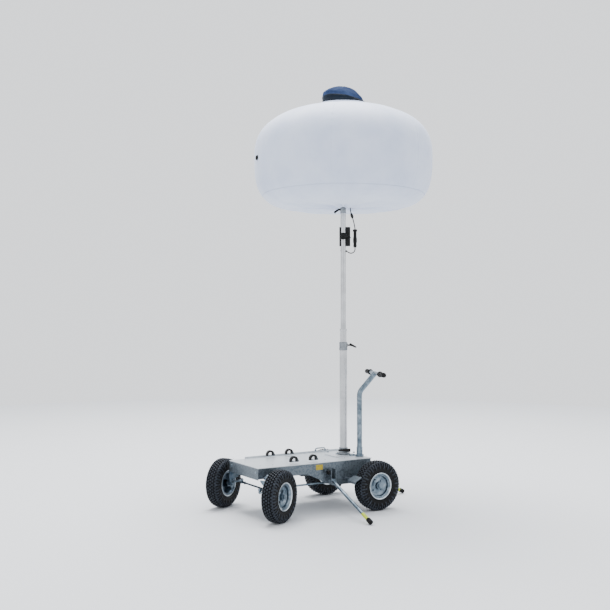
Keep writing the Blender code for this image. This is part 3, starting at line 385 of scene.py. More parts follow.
# The top sheet and the mast's base plate get a paler, less metallic copy of the same sheet: painted light,
# standing in for the bright reflection of the light above that the top faces catch and the side panels don't
TOP_SHEET_PAINTED_LIGHT = galvanised_sheet("galvanised_sheet_painted_light_on_top", 0.25, "#a9afb5", "#bcc2c7", "#d3d7da")
ZINC = zinc_plated_steel("blue_zinc_plated_steel", "#525f6a", "#6f7d88", "#98a3ad")
# A paler copy of the zinc plate for the rims' rolled lips: a painted highlight
LIP_PAINTED_HIGHLIGHT = zinc_plated_steel("zinc_plate_painted_highlight_on_lips", "#b4bec7", "#d0d8de", "#eef1f4")
TUBE = drawn_aluminium()
CAST = cast_aluminium()
NYLON = moulded_nylon()
TYRE = tyre_rubber("vulcanised_tyre_rubber", "#030304", "#06070a", "#0d0f12")
# Greyer rubber for the tops of the lugs and shoulder bars: partly road wear, partly a painted highlight where
# the light above catches them
TREAD_WEAR_AND_HIGHLIGHT = tyre_rubber("tread_rubber_wear_and_painted_highlight", "#1e2228", "#2f343c", "#494e57")
FOOT = soft_rubber("black_foot_rubber", "#070708", "#151516")
LEAD = soft_rubber("neoprene_cable_sheath", "#030303", "#0b0b0c")
CLOTH = woven_cloth("pu_coated_white_polyester", 1.6 * MM, "#d2dbef", "#c4cfe7", 0.62, 0.5 * MM,
                    Sheen_Weight=0.15)
SEAM = woven_cloth("white_seam_webbing", 1.2 * MM, "#c3cde1", "#b4bfd6", 0.75, 0.2 * MM)
# A near-black strip round the hood's lower part: painted shade, standing in for the shadow under the crown's
# overhang
HOOD_PAINTED_SHADE_BAND = woven_cloth("navy_painted_shade_band", 1.4 * MM, "#0b1a28", "#040a11", 0.6, 0.5 * MM,
                  Specular_IOR_Level=0.15)
NAVY = woven_cloth("navy_nylon_cloth", 1.4 * MM, "#3a4969", "#202c48", 0.8, 0.9 * MM,
                   Specular_IOR_Level=0.02)
YELLOW = printed_vinyl("yellow_vinyl_plate", "#a99200", "#8f7b00")
BAND = printed_vinyl("yellow_green_tape", "#b4c41c", "#9cab12")
DARK = soft_rubber("black_dipped_rubber", "#060607", "#0f0f10")

# The record's slot that a piece of each finish belongs to
SLOTS = {
    SHEET: "galvanised_sheet", ZINC: "zinc_steel", TUBE: "mast_aluminium", CAST: "mast_aluminium",
    NYLON: "black_plastic", TYRE: "tyre_rubber", FOOT: "foot_rubber", DARK: "foot_rubber",
    CLOTH: "envelope_fabric", SEAM: "envelope_fabric", NAVY: "hood_fabric", HOOD_PAINTED_SHADE_BAND: "hood_fabric",
}


# Shapes

def facing(place, axis):
    """A frame at a place whose Z points along an axis."""
    return Matrix.Translation(place) @ Vector(axis).to_track_quat("Z", "Y").to_matrix().to_4x4()


def turned_frame(place, angle):
    """A frame at a place that is turned about Z."""
    return Matrix.Translation(place) @ Matrix.Rotation(angle, 4, "Z")


def standing(place):
    """A frame at a place whose XY plane stands upright, with Y upwards."""
    return Matrix.Translation(place) @ Matrix.Rotation(math.pi / 2, 4, "X")


def heading(where, x, y, z):
    """A direction of a frame's own, in the world."""
    return where.to_3x3() @ Vector((x, y, z))


def polar(radius, angle, z=0.0):
    """A point at a radius and an angle about Z."""
    return Vector((radius * math.cos(angle), radius * math.sin(angle), z))


def turn(bm, profile, where, steps, closed=False):
    """A profile of (radius, height) points turned about Z."""
    rings = []
    for radius, height in profile:
        count = steps if radius > 0 else 1
        rings.append([bm.verts.new(where @ polar(radius, TAU * i / count, height)) for i in range(count)])
    pairs = list(zip(rings, rings[1:]))
    if closed:
        pairs.append((rings[-1], rings[0]))
    for a, b in pairs:
        for i in range(steps):
            j = (i + 1) % steps
            corners = [a[i % len(a)], b[i % len(b)], b[j % len(b)], a[j % len(a)]]
            bm.faces.new(list(dict.fromkeys(corners)))


def slab(bm, outline, thickness, where):
    """A flat plate; its outline is in the frame's XY plane and its thickness is centred."""
    rings = [[bm.verts.new(where @ Vector((x, y, z))) for x, y in outline]
             for z in (-thickness / 2, thickness / 2)]
    bm.faces.new(rings[0][::-1])
    bm.faces.new(rings[1])
    for i in range(len(outline)):
        j = (i + 1) % len(outline)
        bm.faces.new((rings[0][i], rings[0][j], rings[1][j], rings[1][i]))


def rod(bm, begin, end, radius, sides, end_radius=None):
    """A round bar from one point to another."""
    begin, end = Vector(begin), Vector(end)
    where = facing((begin + end) / 2, end - begin)
    bmesh.ops.create_cone(bm, cap_ends=True, segments=sides, radius1=radius, radius2=end_radius or radius,
                          depth=(end - begin).length, matrix=where)


def arc(centre, radius, begin, end, count):
    """Points on an arc, angles in degrees."""
    angles = [math.radians(begin + (end - begin) * i / count) for i in range(count + 1)]
    return [(centre[0] + radius * math.cos(a), centre[1] + radius * math.sin(a)) for a in angles]


def hexagon_bolt(bm, place, axis, across, head):
    """A hexagon head of a height on its washer; across is the size over its flats."""
    where = facing(place, axis)
    corner = across / math.sqrt(3)
    washer = 0.1 * across
    turn(bm, [(0, washer), (across * 0.62, washer), (across * 0.66, 0), (0, 0)], where, 24)
    turn(bm, [(0, washer + head), (corner * 0.86, washer + head), (corner, washer + head * 0.86),
              (corner, washer * 0.9), (0, washer * 0.9)], where, 6)


def skin(bm, rings):
    """Faces between rings of points that follow one another; gives the rows of faces."""
    rows = []
    for a, b in zip(rings, rings[1:]):
        rows.append([bm.faces.new(corners) for corners in zip(a, a[1:] + a[:1], b[1:] + b[:1], b)])
    return rows


def loft(rings, caps=False):
    """A mesh skinned over rings of points; each ring is closed on itself."""
    bm = bmesh.new()
    verts = [[bm.verts.new(point) for point in ring] for ring in rings]
    for a, b in zip(verts, verts[1:]):
        for i in range(len(a)):
            j = (i + 1) % len(a)
            bm.faces.new((a[i], b[i], b[j], a[j]))
    if caps:
        bm.faces.new(verts[0])
        bm.faces.new(verts[-1][::-1])
    return bm


def along_tube(points, radius, sides):
    """A round tube that follows points, with flat ends."""
    points = [Vector(p) for p in points]
    rings = []
    across = None
    for i, point in enumerate(points):
        ahead = (points[min(i + 1, len(points) - 1)] - points[max(i - 1, 0)]).normalized()
        if across is None:
            across = ahead.orthogonal().normalized()
        across = (across - ahead * across.dot(ahead)).normalized()
        up = ahead.cross(across)
        rings.append([point + radius * (math.cos(TAU * k / sides) * across + math.sin(TAU * k / sides) * up)
                      for k in range(sides)])
    return loft(rings, caps=True)


def drawn(draw, *sizes, **settings):
    """A new mesh with one form drawn in it."""
    bm = bmesh.new()
    draw(bm, *sizes, **settings)
    return bm


def fit(name, bm, body, material, stands_for=(), soft_edge=0.0, smooth=35, second=None, slot=None):
    """Add a piece to a body of the frame, with soft edges and its material, or two materials."""
    bmesh.ops.recalc_face_normals(bm, faces=bm.faces)
    mesh = bpy.data.meshes.new(name)
    bm.to_mesh(mesh)
    bm.free()
    mesh.materials.append(material)
    if second:
        mesh.materials.append(second)
    mesh.shade_smooth()
    mesh.set_sharp_from_angle(angle=math.radians(smooth))
    piece = bpy.data.objects.new(name, mesh)
    bpy.context.scene.collection.objects.link(piece)
    if soft_edge:
        soften(piece, soft_edge)
    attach(piece, body)
    slot = slot or SLOTS.get(material)
    if stands_for:
        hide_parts(*stands_for)
    return piece


def soften(piece, width):
    """Round a piece's sharp edges a little, so that they catch the light."""
    round_edges = piece.modifiers.new("edges", "BEVEL")
    round_edges.width = width
    round_edges.segments = 2
    round_edges.limit_method = "ANGLE"
    round_edges.angle_limit = math.radians(40)


# The lamp's lead: balloon, joint, plug, loop, mast. Its frame has +X beside the mast.

CABLE_FRAME = turned_frame((MAST_X, 0, 0), CABLE_TURN)
JOINT_TOP, JOINT_LOW = (0.0557, 2.031), (0.067, 1.995)
LEAD_ROUTE = [
    (0.051, BALLOON_LOW), (0.051, 2.06), (0.0517, 2.05), (0.0532, 2.04), JOINT_TOP,
    (0.0613, 2.013), JOINT_LOW, (0.0705, 1.984), (0.0755, 1.964), (0.0796, 1.944),
    (0.0825, 1.928), (PLUG_OUT, PLUG_TOP), (PLUG_OUT, 1.875), (PLUG_OUT, 1.83), (PLUG_OUT, PLUG_LOW),
] + arc((PLUG_OUT - LOOP_R, LOOP_Z), LOOP_R, 0, math.degrees(GLAND_TILT) - 150, 12) + [
    (0.034, 1.7552), (0.0268, 1.7594),
]


def beside(out, z, forward=0.0):
    """A point beside the mast, on the side where the cable hangs."""
    return CABLE_FRAME @ Vector((out, -forward, z))


OUTWARD = beside(1, 0) - beside(0, 0)
FORWARD = beside(0, 0, 1) - beside(0, 0)


def lead():
    """One curve from the balloon's bottom through the joint and the plug to the mast's gland."""
    points = [beside(out, z) for out, z in LEAD_ROUTE]
    curve = bpy.data.curves.new("lamp_lead", "CURVE")
    curve.dimensions = "3D"
    curve.bevel_depth = CABLE_R
    curve.bevel_resolution = 6
    curve.use_fill_caps = True
    spline = curve.splines.new("POLY")
    spline.points.add(len(points) - 1)
    for target, point in zip(spline.points, points):
        target.co = (*point, 1)
    spline.use_smooth = True
    curve.materials.append(LEAD)
    piece = bpy.data.objects.new("lamp_lead", curve)
    bpy.context.scene.collection.objects.link(piece)
    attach(piece, "mast_upper")
    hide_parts("cable_upper", "cable_middle", "cable_loop")
    length = sum((b - a).length for a, b in zip(points, points[1:]))
    return piece, points[0], length


def lead_joint():
    """In-line joint: a moulded sleeve with a ribbed strain relief at its top."""
    top, low = beside(*JOINT_TOP), beside(*JOINT_LOW)
    long = (top - low).length
    profile = [(CABLE_R, long), (0.0056, long)]
    for i in range(3):
        z = long - 0.002 - 0.0026 * i
        profile += [(0.0066 + 0.0009 * i, z), (0.0058 + 0.0009 * i, z - 0.0011)]
    profile += [(0.01, long * 0.72), (0.01, long * 0.24)]
    profile += [(0.0074, 0.003), (0.0064, 0), (CABLE_R, 0)]
    bm = drawn(turn, profile, facing(low, top - low), 32, closed=True)
    return fit("lead_joint", bm, "mast_upper", NYLON, ["cable_joint"], 0.4 * MM)


def lead_plug():
    """Large round connector: coupling ring, waist, ribbed grip and cable gland."""
    where = CABLE_FRAME @ Matrix.Translation((PLUG_OUT, 0, 0))
    flange, waist, grip, tail = 0.0155, 0.0112, 0.0132, 0.0105
    profile = [(CABLE_R, PLUG_TOP), (tail, PLUG_TOP), (flange - 0.001, PLUG_TOP - 0.001),
               (flange, PLUG_TOP - 0.002), (flange, PLUG_TOP - 0.012), (waist, PLUG_TOP - 0.019),
               (waist, PLUG_TOP - 0.05), (grip, PLUG_TOP - 0.062), (grip, PLUG_LOW + 0.035),
               (waist, PLUG_LOW + 0.025), (waist, PLUG_LOW + 0.02), (waist + 0.0012, PLUG_LOW + 0.019),
               (waist + 0.0012, PLUG_LOW + 0.007), (tail, PLUG_LOW + 0.001), (tail - 0.001, PLUG_LOW),
               (CABLE_R, PLUG_LOW)]
    bm = drawn(turn, profile, where, 48, closed=True)
    ribs = 18
    rib = [(grip - 0.001, -0.0009), (grip + 0.0007, -0.0006), (grip + 0.0007, 0.0006), (grip - 0.001, 0.0009)]
    rib_top, rib_low = PLUG_TOP - 0.064, PLUG_LOW + 0.037
    for i in range(ribs):
        spin = Matrix.Rotation(TAU * i / ribs, 4, "Z")
        slab(bm, rib, rib_top - rib_low, where @ spin @ Matrix.Translation((0, 0, (rib_top + rib_low) / 2)))
    return fit("lead_plug", bm, "mast_upper", NYLON, ["cable_plug"], 0.4 * MM)


LEAD_PIECE, LEAD_EXIT, LEAD_LENGTH = lead()
lead_joint()
lead_plug()


# Wheels

CASING_HALF = 0.0458
CASING_R = 0.156
CASING_MID_R = 0.126
CASING_FLAT, CASING_ROUND = 0.45, 0.8
LUG_TOP_R = 0.1648
LUG_WIDE, LUG_ALONG = 0.0067, 0.0082
PITCHES = 48            # lugs round each row
LUG_ROWS = ((-0.034, 0.0), (-0.017, 0.5), (0.0, 0.0), (0.017, 0.5), (0.034, 0.0))


def casing(tilt):
    """Radius and half width of the bare casing; tilt is 0 at its side and 90 degrees at its crown."""
    return (CASING_MID_R + (CASING_R - CASING_MID_R) * math.sin(tilt) ** CASING_ROUND,
            CASING_HALF * math.cos(tilt) ** CASING_FLAT)


def casing_radius(across):
    """Radius of the casing at a distance from its middle."""
    return casing(math.acos(min(1, abs(across) / CASING_HALF) ** (1 / CASING_FLAT)))[0]


def tyre(name, where, body):
    """Block-tread tyre: casing with ribbed side walls, five rows of lugs and shoulder bars."""
    half = [casing(math.pi / 2 * (1 - i / 12)) for i in range(13)]
    half += [(0.121, 0.0458), (0.12, 0.047), (0.117, 0.047), (0.116, 0.0458), (0.107, 0.0456),
             (0.1, 0.0452), (0.098, 0.0468), (0.094, 0.0472), (0.0915, 0.0455),
             (RIM_LIP_R + 0.0005, 0.044), (RIM_LIP_R + 0.0005, 0.0376), (0.0725, 0.0294)]
    profile = half + [(r, -z) for r, z in reversed(half)]
    profile = [p for i, p in enumerate(profile) if p != profile[i - 1]]
    bm = drawn(turn, profile, where, 96, closed=True)
    for across, shift in LUG_ROWS:
        for i in range(PITCHES):
            tread_lug(bm, where, across, TAU * (i + shift) / PITCHES)
    for side in (1, -1):
        for i in range(PITCHES):
            shoulder_bar(bm, where, side, TAU * (i + 0.5) / PITCHES, long=i % 2 == 0)
    fit("tyre_tread_" + name, bm, body, TYRE, ["tyre_" + name], smooth=30, second=TREAD_WEAR_AND_HIGHLIGHT)


def tread_lug(bm, where, across, angle):
    """One six-sided lug, narrower at its top, whose top is greyer: partly road wear, partly a painted
    highlight where the light catches it.
    """
    wide, along = LUG_WIDE, LUG_ALONG
    outline = [(-wide, -along * 0.6), (0, -along), (wide, -along * 0.6), (wide, along * 0.6), (0, along),
               (-wide, along * 0.6)]
    rings = []
    for lift, shrink in ((-0.002, 1.1), (0.007, 0.96), (0.009, 0.74)):
        ring = []
        for x, y in outline:
            z = across + x * shrink
            radius = min(casing_radius(z) + lift, LUG_TOP_R - max(0.0068 - lift, 0))
            ring.append(bm.verts.new(where @ polar(radius, angle + y * shrink / TYRE_R, z)))
        rings.append(ring)
    bm.faces.new(rings[-1]).material_index = 1
    for face in skin(bm, rings)[-1]:
        face.material_index = 1


def shoulder(share):
    """Radius and half width of the casing: share 0 to 1 over the shoulder, below 0 down the flat wall."""
    if share < 0:
        return CASING_MID_R + 0.016 * share, CASING_HALF
    return casing(math.radians(62) * share)


def shoulder_bar(bm, where, side, angle, long):
    """A lug that runs from the tread down over the shoulder, every second one far down the wall."""
    low = -0.75 if long else 0.12
    half_wide = (0.0072 if long else 0.0062) / TYRE_R
    rings = []
    for share in (low, low + 0.12, 0.35, 0.8, 1.0):
        radius, z = shoulder(share)
        lift = 0.0006 if share == low else 0.0044
        ring = []
        for out, spread in ((-0.002, 1.05), (lift, 0.85)):
            for hand in (-1, 1) if out < 0 else (1, -1):
                reach = min(radius + out * (1 if out > 0 else 0.6), LUG_TOP_R)
                height = side * min(z + out * 0.9, TYRE_HALF)
                ring.append(bm.verts.new(where @ polar(reach, angle + hand * spread * half_wide, height)))
        rings.append(ring)
    for row in skin(bm, rings):
        # The bar's outer top face takes the greyer rubber: partly road wear, partly a painted highlight
        row[2].material_index = 1
    bm.faces.new(rings[0])
    bm.faces.new(rings[-1][::-1])


RIM_FACE = 0.0072       # the disc's outer face, out from the wheel's middle
RIM_BOLTS_R = 0.04
PAINTED_HIGHLIGHT_LIP_R = 0.0815   # the lips outside it get a paler copy of the zinc: a painted highlight on the rolled lips
# Turn of each wheel's valve at rest, from the wheel's own X
VALVE_CLOCK = {"front_left": 205, "front_right": 60, "rear_left": 130, "rear_right": 20}


def rim(name, where, body):
    """Pressed rim: rolled lips, dished disc with its hub, four bolts, and a valve stem."""
    bore, hub = 0.0105, 0.022
    lip = [(0.0665, 0.03), (0.069, 0.0338), (0.0735, 0.035), (0.0762, 0.0388), (0.0825, 0.0402),
           (0.085, 0.0428), (0.087, 0.0438), (0.0886, 0.0432), (0.0889, 0.0415), (0.088, 0.038),
           (0.0722, 0.0298)]
    disc_out = [(bore, HUB_OUT), (hub - 0.001, HUB_OUT), (hub, HUB_OUT - 0.001), (hub, 0.012),
                (0.025, 0.0085), (0.029, RIM_FACE), (0.05, RIM_FACE), (0.0545, 0.0095), (0.059, 0.0125),
                (0.0625, 0.0125), (0.0665, 0.016)]
    disc_in = [(0.0665, 0.009), (0.061, 0.0062), (0.0545, 0.0015), (0.05, 0.0), (0.029, 0.0),
               (0.025, -0.002), (hub, -0.006), (hub, -0.043), (hub - 0.001, -0.044), (bore, -0.044)]
    profile = disc_out + lip + [(r, -z) for r, z in reversed(lip)] + disc_in
    bm = drawn(turn, profile, where, 72, closed=True)
    own = where.inverted()
    # Faces on the rolled lips take the paler zinc: a painted highlight
    for face in bm.faces:
        if (own @ face.calc_center_median()).xy.length > PAINTED_HIGHLIGHT_LIP_R:
            face.material_index = 1
    for i in range(4):
        spot = where @ polar(RIM_BOLTS_R, TAU * (i + 0.5) / 4, RIM_FACE)
        hexagon_bolt(bm, spot, heading(where, 0, 0, 1), 0.0115, 0.005)
    fit("rim_pressed_" + name, bm, body, ZINC, ["rim_" + name], 0.3 * MM, second=LIP_PAINTED_HIGHLIGHT)
    line = polar(1, math.radians(VALVE_CLOCK[name]))
    foot = where @ (line * 0.055 + Vector((0, 0, 0.0085)))
    tip = where @ (line * 0.057 + Vector((0, 0, 0.033)))
    stem = drawn(rod, foot, tip, 0.005, 16, 0.0036)
    rod(stem, foot.lerp(tip, 0.72), foot.lerp(tip, 1.04), 0.0042, 12)
    fit("valve_stem_" + name, stem, body, DARK, soft_edge=0.3 * MM, slot="tyre_rubber")


def hub_nut(name, where, body):
    """Flanged nut, washer and split pin on the axle's end; the nut stays with the axle."""
    low = HUB_OUT + GAP
    corner = 0.0155
    washer = [(0.0085, low), (0.0172, low), (0.0172, low + 0.0018), (0.0085, low + 0.0018)]
    nut = [(0, low + 0.0104), (corner * 0.88, low + 0.0104), (corner, low + 0.009), (corner, low + 0.0016),
           (0, low + 0.0016)]
    axle_end = [(0, low + 0.014), (0.007, low + 0.014), (0.008, low + 0.013), (0.008, low + 0.009),
                (0, low + 0.009)]
    bm = drawn(turn, washer, where, 32, closed=True)
    turn(bm, nut, where, 6)
    turn(bm, axle_end, where, 24)
    pin = where @ Vector((0, 0, low + 0.0122))
    across = where.to_3x3() @ Vector((1, 0.3, 0)).normalized()
    rod(bm, pin - across * 0.0125, pin + across * 0.0115, 0.0012, 10)
    fit("hub_nut_" + name, bm, body, ZINC, soft_edge=0.3 * MM)


def wheels():
    """Four wheels: tyre, rim and the nut on each axle's end."""
    for end in ("front", "rear"):
        for side, hand in SIDES:
            name = end + "_" + hand
            joint = JOINTS["wheel_" + name + "_spin"]
            where = facing(joint["pos_m"], Vector(joint["axis"]) * side)
            tyre(name, where, "wheel_" + name)
            rim(name, where, "wheel_" + name)
            hub_nut(name, where, "knuckle_" + hand if end == "front" else "chassis")


wheels()


# Trolley body

def trolley_body():
    """The folded sheets keep the frame's own shape, with rounded edges."""
    for node in ("deck_plate", "front_apron", "rear_apron", "side_panel_left", "side_panel_right",
                 "mast_base_plate"):
        sheet = frame["nodes"][node]
        # The deck plate and the mast's base plate take the paler copy: painted light on the top faces; the
        # aprons and side panels keep the plain sheet
        sheet.data.materials[0] = TOP_SHEET_PAINTED_LIGHT if node in ("deck_plate", "mast_base_plate") else SHEET
        soften(sheet, 0.9 * MM)
    for node in ("rear_axle", "kingpin_housing_left", "kingpin_housing_right", "knuckle_left",
                 "knuckle_right"):
        steel = frame["nodes"][node]
        steel.data.materials[0] = ZINC
        steel.data.shade_smooth()
        steel.data.set_sharp_from_angle(angle=math.radians(35))
        soften(steel, 0.7 * MM)
    frame["nodes"]["lamp_head"].data.materials[0] = CAST


def deck_bolts():
    """Bolts of the mast's base plate, rivets along the top sheet, and both on the front apron."""
    bm = bmesh.new()
    for x in (-0.05, 0.095):
        for y in (-0.056, 0.056):
            hexagon_bolt(bm, (MAST_X + x, y, DECK_TOP + 0.006), UP, 0.013, 0.006)
    for side in (1, -1):
        for x in (REAR.x - 0.006, MAST_X + 0.12, REAR.x + 0.33, FRONT.x - 0.06, FRONT.x + 0.03):
            dome_rivet(bm, (x, side * (PANEL_OUT - 0.012), DECK_TOP), UP, 0.0042)
    for y in (-0.15, 0.15):
        dome_rivet(bm, (DECK_HIGH.x, y, 0.262), (1, 0, 0), 0.004)
    for y in (0.172, -0.172):
        hexagon_bolt(bm, (DECK_HIGH.x, y, 0.3), (1, 0, 0), 0.013, 0.005)
    fit("trolley_bolts", bm, "chassis", ZINC, soft_edge=0.2 * MM)


def dome_rivet(bm, place, axis, radius):
    """A low round rivet head."""
    profile = [(radius * math.sin(math.radians(a)), radius * 0.55 * math.cos(math.radians(a)))
               for a in (0, 25, 50, 75, 90)]
    turn(bm, profile + [(0, 0)], facing(place, axis), 16)


def yellow_plate():
    """Blank yellow plate on the left side panel."""
    x, z, wide, high, corner = REAR.x + 0.383, 0.3005, 0.054, 0.034, 0.003
    outline = []
    for a, b, start in ((1, 1, 0), (-1, 1, 90), (-1, -1, 180), (1, -1, 270)):
        outline += arc((a * (wide / 2 - corner), b * (high / 2 - corner)), corner, start, start + 90, 4)
    thick = 0.0008
    bm = drawn(slab, outline, thick, standing((x, PANEL_OUT + thick / 2, z)))
    fit("yellow_plate", bm, "chassis", YELLOW)


def deck_clamps():
    """Four arched toggle clamps: nylon arch, steel keeper and hinge pin."""
    steel = bmesh.new()
    bow = (0.006, 0.008)
    arch = [(0.036, 0.0)] + arc(bow, 0.03, 0, 165, 22)
    arch += [(-0.028, 0.008), (-0.028, 0.0), (-0.01, 0.0), (-0.01, 0.009)]
    arch += arc(bow, 0.0175, 150, 0, 16) + [(0.0255, 0.0)]
    keeper = [(-0.01, -0.012), (0.022, -0.012), (0.026, 0.0), (0.022, 0.012), (-0.01, 0.012)]
    for row in ("front", "rear"):
        for hand in ("left", "right"):
            node = f"deck_clamp_{row}_{hand}"
            low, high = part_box(node)
            middle = (low + high) / 2
            x, y, wide = middle.x - 0.004, middle.y, high.y - low.y
            bm = drawn(slab, arch, wide, standing((x, y, DECK_TOP + GAP)))
            fit(f"toggle_arch_{row}_{hand}", bm, "chassis", NYLON, [node], 1.6 * MM)
            pin = wide / 2 + 0.003
            rod(steel, *[(x - 0.016, y + reach, DECK_TOP + 0.012) for reach in (-pin, pin)], 0.0026, 16)
            slab(steel, keeper, 0.002, Matrix.Translation((x + 0.004, y, DECK_TOP + 0.0012)))
            hexagon_bolt(steel, (x + 0.012, y, DECK_TOP + 0.0021), UP, 0.008, 0.004)
    fit("toggle_keepers", steel, "chassis", ZINC, soft_edge=0.3 * MM)


def deck_bail():
    """Wire bail, its feet in small round sockets."""
    low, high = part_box("deck_bail")
    middle = (low + high) / 2
    inset, bend, wire = 0.0035, 0.012, 0.0042
    half = (high.x - low.x) / 2 - inset
    tall = high.z - DECK_TOP - inset - GAP
    line = [(-half, 0.001)] + arc((-half + bend, tall - bend), bend, 180, 90, 8)
    line += arc((half - bend, tall - bend), bend, 90, 0, 8) + [(half, 0.001)]
    bm = along_tube([(middle.x + a, middle.y, DECK_TOP + GAP + b) for a, b in line], wire, 16)
    for side in (1, -1):
        turn(bm, [(0, 0.01), (0.0058, 0.01), (0.0066, 0.008), (0.0066, 0.0), (0, 0.0)],
             Matrix.Translation((middle.x + side * half, middle.y, DECK_TOP + GAP)), 24)
    fit("lifting_bail", bm, "chassis", ZINC, ["deck_bail"])


def deck_latch():
    """Clevis with two ears and a pin."""
    low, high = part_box("deck_latch")
    middle = (low + high) / 2
    half, inner, corner = (high.x - low.x) / 2, 0.012, 0.003
    tall = high.z - DECK_TOP - GAP
    ear = [(-half, 0), (half, 0)] + arc((half - corner, tall - corner), corner, 0, 90, 4)
    ear += [(inner, tall), (inner, 0.004), (-inner, 0.004), (-inner, tall)]
    ear += arc((-half + corner, tall - corner), corner, 90, 180, 4)
    bm = drawn(slab, ear, high.y - low.y, standing((middle.x, middle.y, DECK_TOP + GAP)))
    pin_z = DECK_TOP + tall * 0.68
    rod(bm, *[(middle.x + reach, middle.y, pin_z) for reach in (-half - 0.004, half + 0.002)], 0.0028, 16)
    fit("deck_clevis", bm, "chassis", ZINC, ["deck_latch"], 0.5 * MM)


def kingpins():
    """Top nut and grease nipple of each front bearing."""
    for hand in ("left", "right"):
        place = joint_place("knuckle_" + hand + "_steer")
        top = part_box("kingpin_housing_" + hand)[1].z
        bm = drawn(hexagon_bolt, (place.x, place.y, top), UP, 0.02, 0.007)
        turn(bm, [(0, 0.009), (0.0018, 0.009), (0.0026, 0.006), (0.0026, 0.0), (0, 0.0)],
             facing((place.x + 0.019, place.y, top - 0.006), (1, 0, 0.2)), 12)
        fit("kingpin_nut_" + hand, bm, "chassis", ZINC, soft_edge=0.3 * MM)


trolley_body()
deck_bolts()
yellow_plate()
deck_clamps()
deck_bail()
deck_latch()
kingpins()


# Steering rods

TIE_ARM = 0.1
DRAG_ARM = 0.06
ARM_LOW, ARM_HIGH = 0.172, 0.18
TIE_ROD_Z = 0.16
DRAG_ROD_Z = 0.1915


def knuckle_point(side, along, out):
    """World point of a front knuckle's own (along, out) place at rest."""
    c, s = math.cos(STEER_REST), math.sin(STEER_REST)
    return Vector((FRONT.x + along * c - out * s, side * FRONT.y + along * s + out * c, 0))


def ball_joint(bm, boot, eye, level, arm, line):
    """A ball joint's steel eye and stud in one mesh, and its rubber boot in the other."""
    where = Matrix.Translation((eye.x, eye.y, 0))
    half = [(0, 0.0095), (0.009, 0.0095), (0.0118, 0.006)]
    turn(bm, [(r, level + z) for r, z in half] + [(r, level - z) for r, z in reversed(half)], where, 32)
    toward = math.copysign(1, arm - level)
    sleeve = [(0.003, arm - 0.0004 * toward), (0.0062, arm - 0.0008 * toward),
              (0.0074, arm - 0.0024 * toward), (0.01, level + 0.0085 * toward),
              (0.003, level + 0.008 * toward)]
    turn(boot, sleeve, where, 24, closed=True)
    centre = eye + Vector((0, 0, level))
    rod(bm, centre + line * 0.01, centre + line * 0.04, 0.0075, 20)
    nut = [(0, 0.007), (0.01, 0.007), (0.0108, 0.006), (0.0108, 0.001), (0.01, 0.0), (0, 0.0)]
    turn(bm, nut, facing(centre + line * 0.04, line), 6)


def steering_rod(name, body, begin, end, level, arm, radius):
    """A rod with a lock nut and a ball joint at each end."""
    line = (end - begin).normalized()
    up = Vector((0, 0, level))
    bm, boot = drawn(rod, begin + up + line * 0.046, end + up - line * 0.046, radius, 24), bmesh.new()
    ball_joint(bm, boot, begin, level, arm, line)
    ball_joint(bm, boot, end, level, arm, -line)
    fit(name + "_bar", bm, body, ZINC, [name], 0.3 * MM)
    fit(name + "_boots", boot, body, DARK)


def stud_nuts():
    """Nuts of the ball joints' studs, on the other face of each arm."""
    for side, hand in SIDES:
        eye = knuckle_point(side, -TIE_ARM, 0)
        bm = drawn(hexagon_bolt, (eye.x, eye.y, ARM_HIGH), UP, 0.012, 0.006)
        if side > 0:
            eye = knuckle_point(side, 0, -DRAG_ARM)
            hexagon_bolt(bm, (eye.x, eye.y, ARM_LOW), (0, 0, -1), 0.012, 0.005)
        fit("stud_nuts_" + hand, bm, "knuckle_" + hand, ZINC, soft_edge=0.2 * MM)


steering_rod("tie_rod", "tie_rod", knuckle_point(1, -TIE_ARM, 0), knuckle_point(-1, -TIE_ARM, 0), TIE_ROD_Z,
             ARM_LOW, 0.0065)
DRAG_REAR = joint_place("drag_link_pivot")
DRAG_REAR.z = 0
steering_rod("drag_link", "drag_link", DRAG_REAR, knuckle_point(1, 0, -DRAG_ARM), DRAG_ROD_Z, ARM_HIGH, 0.006)
stud_nuts()


# Tiller

TILLER_FRAME = turned_frame((TILLER.x, TILLER.y, 0), TILLER_REST)
TILLER_LOW = 0.2006


def tiller():
    """Bent tube with its lower arm, cross bar, weld bead and stud nut."""
    slope = math.atan2(TILLER_REACH, TILLER_BAR_Z - TILLER_BEND_Z)
    bend = 0.07
    start = TILLER_BEND_Z - bend * math.tan(slope / 2)
    line = [(0, TILLER_LOW), (0, start - 0.2)] + arc((-bend, start), bend, 0, math.degrees(slope), 14)
    line += [(-TILLER_REACH, TILLER_BAR_Z)]
    bm = along_tube([TILLER_FRAME @ Vector((a, 0, b)) for a, b in line], TILLER_R, 40)
    half = TILLER_BAR_HALF - 0.002
    ends = [TILLER_FRAME @ Vector((-TILLER_REACH, y, TILLER_BAR_Z)) for y in (-half, half)]
    rod(bm, *ends, TILLER_BAR_R, 32)
    reach = (DRAG_REAR - Vector((TILLER.x, TILLER.y, 0))).length
    arm = [(-0.016, 0.0)] + arc((0, reach), 0.01, 170, 10, 16) + [(0.016, 0.0)]
    slab(bm, arm, 0.008, TILLER_FRAME @ Matrix.Translation((0, 0, TILLER_LOW + 0.0042)))
    fit("tiller_bent_tube", bm, "tiller", ZINC, ["tiller_tube"], 0.5 * MM)
    bead = [(TILLER_R + 0.0004, 0.002), (TILLER_R + 0.003, 0.0), (TILLER_R + 0.0004, -0.002)]
    weld = drawn(turn, bead, TILLER_FRAME @ Matrix.Translation((0, 0, TILLER_LOW + 0.01)), 40, closed=True)
    fit("tiller_weld", weld, "tiller", ZINC)
    stud = drawn(hexagon_bolt, (DRAG_REAR.x, DRAG_REAR.y, TILLER_LOW + 0.0082), UP, 0.012, 0.0055)
    fit("tiller_stud_nut", stud, "tiller", ZINC, soft_edge=0.2 * MM)


